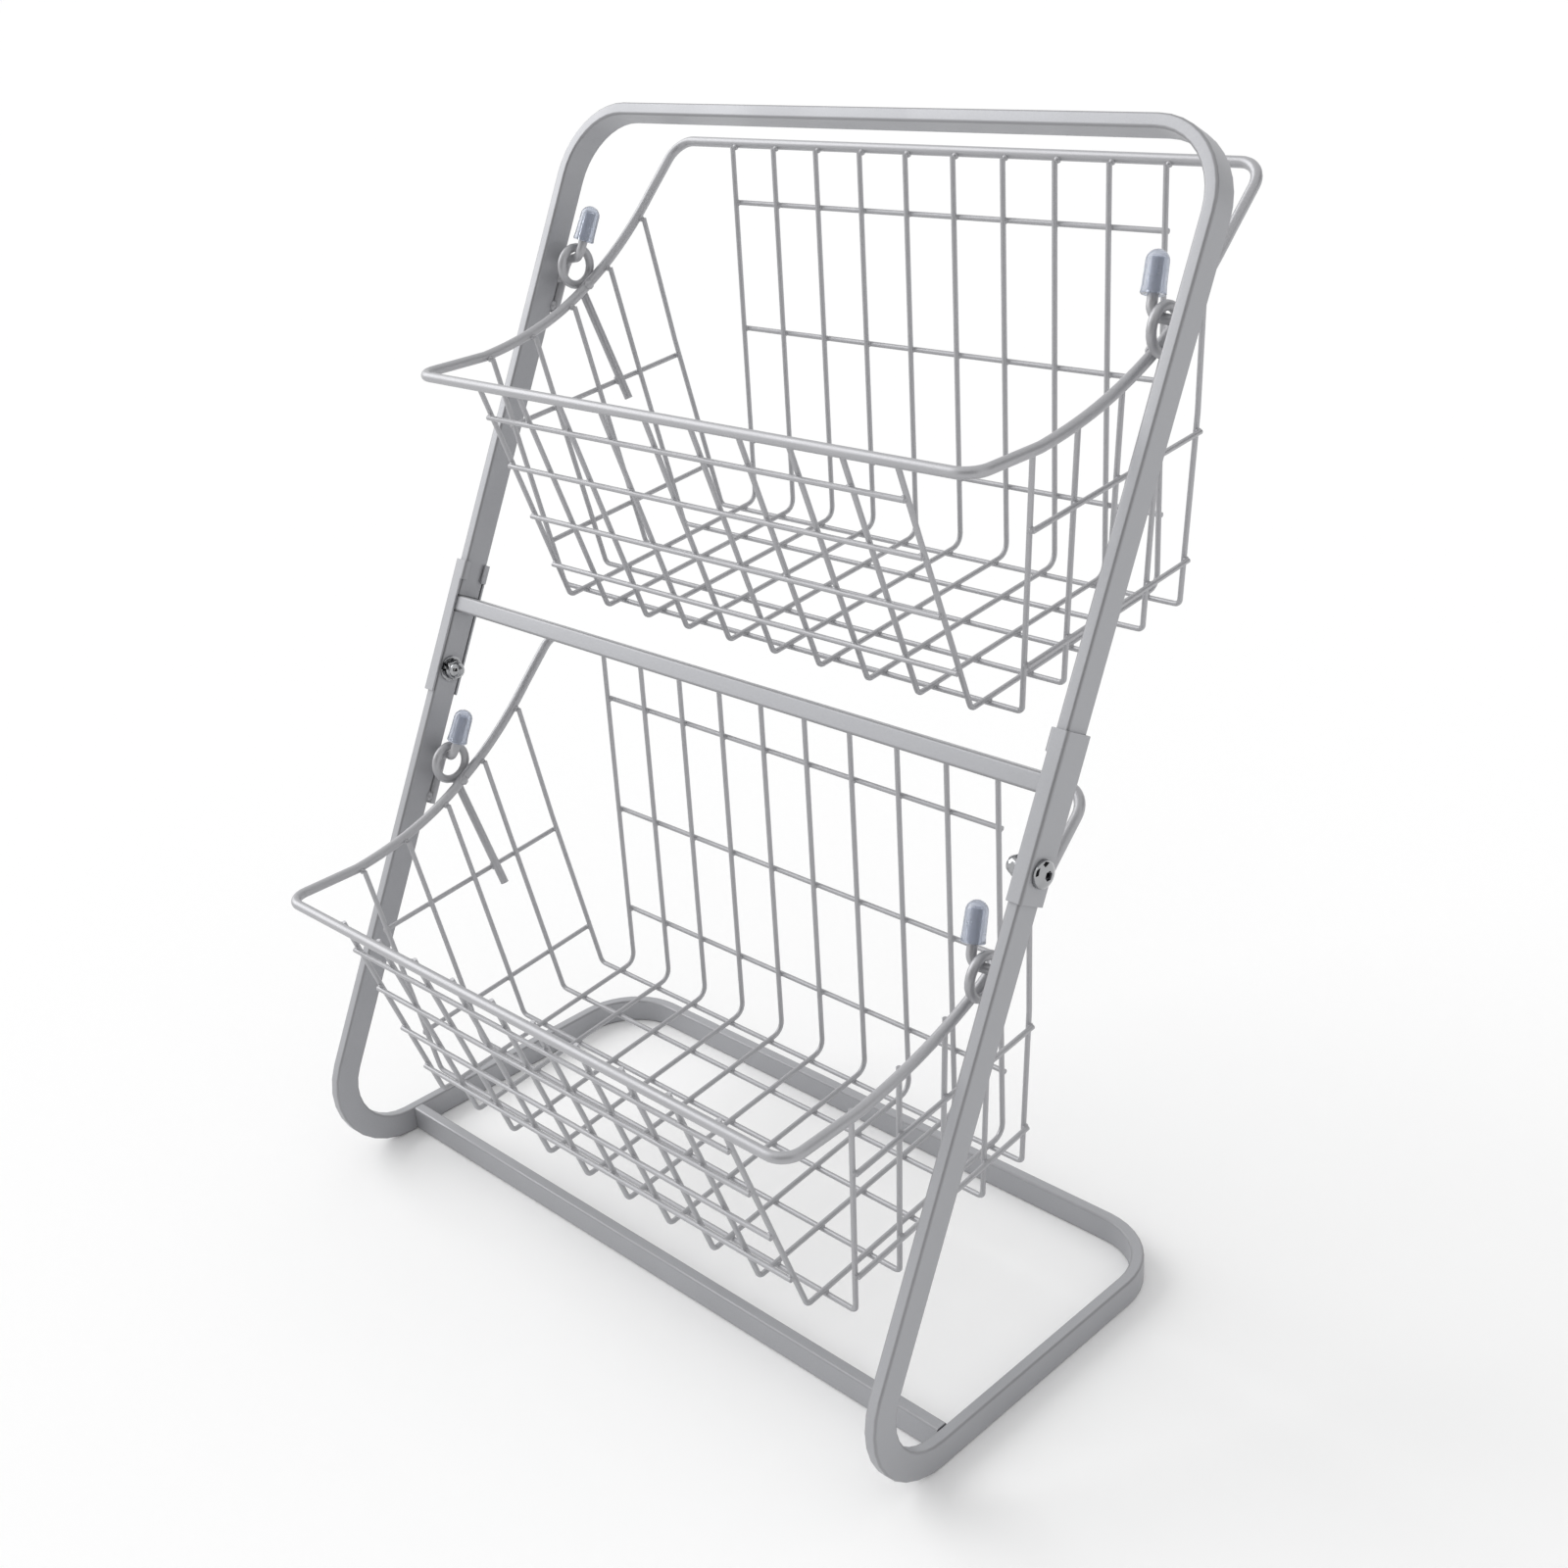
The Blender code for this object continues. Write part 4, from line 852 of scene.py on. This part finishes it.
RIM_FACETS = 16
RIM_SIDE_STEPS = 28
RIM_SIDE_START = 0.06
RIM_SIDE_RUN = 0.78
RIM_OFFSET = (RIM_WIRE + GRID_WIRE) / 2 + SEAT_GAP

BASKETS = [(tier, f"{tier}_basket",
            Matrix.Translation(place) @ Matrix.Rotation(BASKET_TILT, 4, "X")
            @ Matrix.Translation(-HINGE_IN_BASKET)) for tier, place in HINGES.items()]


def side_rim_height(y):
    back = FLOOR_DEPTH + BACK_SLOPE * BACK_RIM_HEIGHT
    share = max(0.0, (y - SIDE_RISE_START) / (back - SIDE_RISE_START))
    return SIDE_RIM_HEIGHT + (BACK_RIM_HEIGHT - SIDE_RIM_HEIGHT) * share ** SIDE_RISE_POWER


def side_turn_in(z):
    """How far the side has turned in from its plane where it rises steeper to the back."""
    return max(0.0, z - SIDE_TURN_HEIGHT) * (SIDE_SLOPE - UPPER_SIDE_SLOPE)


def rim_place(y, z):
    reach = SIDE_SLOPE * z - side_turn_in(z) + RIM_OFFSET * math.hypot(1.0, SIDE_SLOPE)
    return Vector((FLOOR_HALF_WIDTH + reach, y, z))


rim_front_y = -FRONT_SLOPE * FRONT_RIM_HEIGHT - RIM_OFFSET * math.hypot(1.0, FRONT_SLOPE)
rim_back_y = (FLOOR_DEPTH + BACK_SLOPE * BACK_RIM_HEIGHT
              + RIM_OFFSET * math.hypot(1.0, BACK_SLOPE))
rim_half = [(rim_place(rim_front_y, FRONT_RIM_HEIGHT), RIM_FRONT_BEND)]
for step in range(RIM_SIDE_STEPS + 1):
    y = rim_back_y * (RIM_SIDE_START + RIM_SIDE_RUN * step / RIM_SIDE_STEPS)
    rim_half.append((rim_place(y, side_rim_height(y)), 0.0))
rim_half.append((rim_place(rim_back_y, BACK_RIM_HEIGHT), RIM_BACK_BEND))
for tier, body, hang in BASKETS:
    bend_wire(f"{body}_rim_wire", [(rim_half + mirrored(rim_half), True)], RIM_WIRE, RIM_FACETS,
              RIM_BEND_STEPS, hang, body, [f"{tier}_rim"])

# Basket grids
# Ten lengthwise steel wires run down the front, along the floor and up the back. Five crosswise
# wires run under them and up the sides, and straight rails go round the walls outside them. They
# are bent, spot welded where they cross, and coated together.
LENGTHWISE_COUNT = 10
LENGTHWISE_SPACING = 0.029744
CROSSWISE_COUNT = 5
CROSSWISE_FRONT = 0.0112
CROSSWISE_SPACING = 0.0292
FRONT_RAIL_SHARES = (0.163, 0.397, 0.632, 0.851)
BACK_RAIL_SHARES = (0.178, 0.502, 0.847)
SIDE_RAIL_SHARES = (0.178, 0.699)
FRONT_FLOOR_BEND = 0.0030
SIDE_FLOOR_BEND = 0.0032
BACK_FLOOR_BEND = 0.0070
RAIL_OVERHANG = 0.0004
WIRE_END_DROP = 0.0012
SIDE_STRAIGHT_HEIGHT = 0.0920
WELD_SETDOWN = 0.0006
RAIL_OFFSET = GRID_WIRE - WELD_SETDOWN
GRID_FACETS = 10
LENGTHWISE_BEND_STEPS = 5
CROSSWISE_BEND_STEPS = 6
STRAIGHT_STEPS = 1

first_x = -LENGTHWISE_SPACING * (LENGTHWISE_COUNT - 1) / 2
crosswise_places = [CROSSWISE_FRONT + CROSSWISE_SPACING * i for i in range(CROSSWISE_COUNT)]
front_end = FRONT_RIM_HEIGHT - WIRE_END_DROP
back_end = BACK_RIM_HEIGHT - WIRE_END_DROP
lengthwise_chain = [(Vector((first_x, -FRONT_SLOPE * front_end, front_end)), 0.0),
                    (Vector((first_x, 0.0, 0.0)), FRONT_FLOOR_BEND),
                    (Vector((first_x, FLOOR_DEPTH, 0.0)), BACK_FLOOR_BEND),
                    (Vector((first_x, FLOOR_DEPTH + BACK_SLOPE * back_end, back_end)), 0.0)]


def crosswise_chain(y):
    rim_z = side_rim_height(y)
    top = rim_z - WIRE_END_DROP
    low_x = FLOOR_HALF_WIDTH - SIDE_SLOPE * RAIL_OFFSET
    half = [(Vector((low_x, y, -RAIL_OFFSET)), SIDE_FLOOR_BEND)]
    if side_turn_in(rim_z) > 0.0:
        straight_x = FLOOR_HALF_WIDTH + SIDE_SLOPE * SIDE_STRAIGHT_HEIGHT
        half.append((Vector((straight_x, y, SIDE_STRAIGHT_HEIGHT)), 0.0))
    top_x = FLOOR_HALF_WIDTH + SIDE_SLOPE * top - side_turn_in(rim_z)
    half.append((Vector((top_x, y, top)), 0.0))
    return mirrored(half) + half


out_front = Vector((0.0, -1.0, -FRONT_SLOPE)).normalized()
out_back = Vector((0.0, 1.0, -BACK_SLOPE)).normalized()
wall_rails = [(Vector((0.0, -FRONT_SLOPE * share * FRONT_RIM_HEIGHT, share * FRONT_RIM_HEIGHT)),
               out_front) for share in FRONT_RAIL_SHARES]
wall_rails += [(Vector((0.0, FLOOR_DEPTH + BACK_SLOPE * share * BACK_RIM_HEIGHT,
                        share * BACK_RIM_HEIGHT)), out_back) for share in BACK_RAIL_SHARES]
side_rails = []
for side in (-1, 1):
    out_side = Vector((side, 0.0, -SIDE_SLOPE)).normalized()
    for share in SIDE_RAIL_SHARES:
        z = share * SIDE_RIM_HEIGHT
        side_rails.append((Vector((side * (FLOOR_HALF_WIDTH + SIDE_SLOPE * z), 0.0, z)), out_side))

across = Vector((1.0, 0.0, 0.0))
backwards = Vector((0.0, 1.0, 0.0))
rail_chains = []
for wall_point, out in wall_rails:
    centre = wall_point + out * RAIL_OFFSET
    half_run = across * (-first_x + RAIL_OVERHANG)
    rail_chains.append(([(centre - half_run, 0.0), (centre + half_run, 0.0)], False))
for wall_point, out in side_rails:
    centre = wall_point + out * RAIL_OFFSET
    rail_chains.append(([(centre + backwards * (crosswise_places[0] - RAIL_OVERHANG), 0.0),
                         (centre + backwards * (crosswise_places[-1] + RAIL_OVERHANG), 0.0)],
                        False))
for tier, body, hang in BASKETS:
    bend_wire(f"{body}_lengthwise_wires", [(lengthwise_chain, False)], GRID_WIRE, GRID_FACETS,
              LENGTHWISE_BEND_STEPS, hang, body,
              [f"{tier}_lengthwise_wire_{i + 1}" for i in range(1, LENGTHWISE_COUNT - 1)],
              Count=LENGTHWISE_COUNT, Spacing=(LENGTHWISE_SPACING, 0.0, 0.0))
    bend_wire(f"{body}_crosswise_wires", [(crosswise_chain(y), False) for y in crosswise_places],
              GRID_WIRE, GRID_FACETS, CROSSWISE_BEND_STEPS, hang, body,
              [f"{tier}_crosswise_wire_{i + 1}" for i in range(1, CROSSWISE_COUNT - 1)])
    bend_wire(f"{body}_wall_rails", rail_chains, GRID_WIRE, GRID_FACETS, STRAIGHT_STEPS, hang, body,
              [f"{tier}_front_and_back_rails", f"{tier}_side_rails"])

# Hangers
# A thick steel wire up the middle of each side wall, welded inside the rail and the rim, with a
# ring at its top. The ring hangs over the peg.
HANGER_WIRE = 0.0044
HANGER_TAIL = 0.0110
RING_RADIUS = 0.0095
RING_HEIGHT = 0.1435
RING_REACH = 0.03095
RING_POINTS = 24
HANGER_FACETS = 16
hanger_y = CROSSWISE_FRONT + CROSSWISE_SPACING * CROSSWISE_COUNT / 2


def hanger_line():
    """The stem's start and way in x and z, past the rim and the top rail."""
    rail_z = SIDE_RAIL_SHARES[-1] * SIDE_RIM_HEIGHT
    rail_out = Vector((1.0, -SIDE_SLOPE)).normalized()
    rail = Vector((SIDE_SLOPE * rail_z, rail_z)) + rail_out * (GRID_WIRE + SEAT_GAP)
    rim_z = side_rim_height(hanger_y)
    rim = Vector((rim_place(hanger_y, rim_z).x - FLOOR_HALF_WIDTH, rim_z))
    past_rail = (GRID_WIRE + HANGER_WIRE) / 2 + SEAT_GAP
    past_rim = (RIM_WIRE + HANGER_WIRE) / 2 + SEAT_GAP
    span = rim - rail
    turn = math.atan2(span.x, span.y) + math.asin((past_rail + past_rim) / span.length)
    start = rail - Vector((math.cos(turn), -math.sin(turn))) * past_rail
    return start, Vector((math.sin(turn), math.cos(turn))), rim


stem_start, stem_way, rim_cross = hanger_line()
for tier, body, hang in BASKETS:
    for label, side in (("left", -1), ("right", 1)):
        centre = Vector((side * (FLOOR_HALF_WIDTH + RING_REACH), hanger_y, RING_HEIGHT))
        low = stem_start - stem_way * HANGER_TAIL
        foot = Vector((side * (FLOOR_HALF_WIDTH + low.x), hanger_y, low.y))
        stem = [(foot, 0.0), (centre - Vector((0.0, 0.0, RING_RADIUS)), 0.0)]
        turns = [2 * math.pi * i / RING_POINTS for i in range(RING_POINTS)]
        ring = [(centre + Vector((0.0, math.sin(turn), math.cos(turn))) * RING_RADIUS, 0.0)
                for turn in turns]
        bend_wire(f"{body}_{label}_hanger_wire", [(stem, False), (ring, True)], HANGER_WIRE,
                  HANGER_FACETS, STRAIGHT_STEPS, hang, body, [f"{tier}_{label}_hanger"])

# Spot welds
# Where two wires cross they are pressed together and welded, and the coat runs into the corners.
# Each weld is a small flattened bead between the wires. Larger ones hold hangers and pegs.
WELD_WIDTH = 0.0037
WELD_THICKNESS = 0.0024
RIM_WELD_WIDTH = 0.0034
HEAVY_WELD_WIDTH = 0.0056
HEAVY_WELD_THICKNESS = 0.0032
WELD_SPREAD = 0.12
WELD_SEED = 7
WELD_INSET = 0.0007
WELD_SHARP_FROM = math.radians(85.0)
BEAD_SEGMENTS = 8
BEAD_RINGS = 5
PEG_TACK_SHARES = (0.12, 0.62)


def make_bead_layer():
    """Puts a low-faced bead on every point, flattened along the point's facing."""
    tree, given, out = new_tree(
        "spot_welds", "GeometryNodeTree",
        [("Places", "NodeSocketGeometry", None), ("Width", "NodeSocketFloat", 0.004),
         ("Thickness", "NodeSocketFloat", 0.002), ("Spread", "NodeSocketFloat", 0.1),
         ("Seed", "NodeSocketInt", 1), ("Coat", "NodeSocketMaterial", None)],
        [("Welds", "NodeSocketGeometry")])
    asked = given.outputs
    bead = add_node(tree, "GeometryNodeMeshUVSphere", {"Segments": BEAD_SEGMENTS,
                                                       "Rings": BEAD_RINGS, "Radius": 0.5})
    facing = add_node(tree, "GeometryNodeInputNamedAttribute", {"Name": "facing"},
                      data_type="FLOAT_VECTOR")
    turn = add_node(tree, "FunctionNodeAlignRotationToVector",
                    {"Vector": facing.outputs["Attribute"]}, axis="Z")
    size = add_node(tree, "ShaderNodeCombineXYZ", {"X": asked["Width"], "Y": asked["Width"],
                                                   "Z": asked["Thickness"]})
    chance = add_node(tree, "FunctionNodeRandomValue", {
        2: compute(tree, "SUBTRACT", 1.0, asked["Spread"]),
        3: compute(tree, "ADD", 1.0, asked["Spread"]), "Seed": asked["Seed"]}, data_type="FLOAT")
    scale = add_node(tree, "ShaderNodeVectorMath", {0: size.outputs[0], "Scale": chance.outputs[1]},
                     operation="SCALE")
    beads = add_node(tree, "GeometryNodeInstanceOnPoints", {
        "Points": asked["Places"], "Instance": bead.outputs["Mesh"],
        "Rotation": turn.outputs["Rotation"], "Scale": scale.outputs[0]})
    end_tree(tree, beads.outputs["Instances"], asked["Coat"], out)
    return tree


bead_layer = make_bead_layer()


def lay_welds(name, places, width, thickness, matrix, body):
    """Beads at (place, facing) pairs, as one piece on its body."""
    mesh = bpy.data.meshes.new(name)
    mesh.from_pydata([place for place, facing in places], [], [])
    attribute = mesh.attributes.new("facing", "FLOAT_VECTOR", "POINT")
    attribute.data.foreach_set("vector", [part for place, facing in places for part in facing])
    item = bpy.data.objects.new(name, mesh)
    bpy.context.scene.collection.objects.link(item)
    set_inputs(item, bead_layer, {"Width": width, "Thickness": thickness, "Spread": WELD_SPREAD,
                                  "Seed": WELD_SEED, "Coat": wire_coat})
    finish_piece(item, matrix, body, [], sharp=WELD_SHARP_FROM)


def inset(place, last):
    """The outermost welds lie a little inside the wire, so that nothing stands past its end."""
    return place - math.copysign(WELD_INSET, place) if abs(place) > last - WELD_INSET else place


wire_places = [first_x + LENGTHWISE_SPACING * i for i in range(LENGTHWISE_COUNT)]
bead_places = [inset(x, -first_x) for x in wire_places]
upwards = Vector((0.0, 0.0, 1.0))
crossings = [(Vector((x, y, -RAIL_OFFSET / 2)), upwards)
             for x in wire_places for y in crosswise_places]
crossings += [(wall_point + out * RAIL_OFFSET / 2 + across * x, out)
              for wall_point, out in wall_rails for x in bead_places]
crossings += [(wall_point + out * RAIL_OFFSET / 2 + backwards * y, out)
              for wall_point, out in side_rails for y in crosswise_places]
wire_ends = ((lengthwise_chain[0][0], out_front), (lengthwise_chain[-1][0], out_back))
rim_welds = [(Vector((x, end.y, end.z)) + out * RIM_OFFSET / 2, out)
             for x in wire_places for end, out in wire_ends]
for y in crosswise_places:
    for chain_end, bend in (crosswise_chain(y)[0], crosswise_chain(y)[-1]):
        out = Vector((math.copysign(1.0, chain_end.x), 0.0, -SIDE_SLOPE)).normalized()
        rim_welds.append((chain_end + out * RIM_OFFSET / 2, out))
heavy = []
stem_out = Vector((stem_way.y, -stem_way.x))
for side in (-1, 1):
    out = Vector((side * stem_out.x, 0.0, stem_out.y))
    for spot, step in ((stem_start, (GRID_WIRE + HANGER_WIRE) / 4),
                       (rim_cross, -(RIM_WIRE + HANGER_WIRE) / 4)):
        place = Vector((side * (FLOOR_HALF_WIDTH + spot.x), hanger_y, spot.y))
        heavy.append((place + out * step, out))
for tier, body, hang in BASKETS:
    lay_welds(f"{body}_crossing_welds", crossings, WELD_WIDTH, WELD_THICKNESS, hang, body)
    lay_welds(f"{body}_rim_welds", rim_welds, RIM_WELD_WIDTH, HEAVY_WELD_THICKNESS, hang, body)
    lay_welds(f"{body}_hanger_welds", heavy, HEAVY_WELD_WIDTH, HEAVY_WELD_THICKNESS, hang, body)
for tier, along, body in TIERS:
    tacks = []
    for side in (-1, 1):
        low, high = peg_corners(side, along)[:2]
        for share in PEG_TACK_SHARES:
            place = low.lerp(high, share)
            tacks.append((Vector((place.x, TUBE_DEEP, place.z)), backwards))
    lay_welds(f"{tier}_peg_welds", tacks, HEAVY_WELD_WIDTH, HEAVY_WELD_THICKNESS, lean, body)
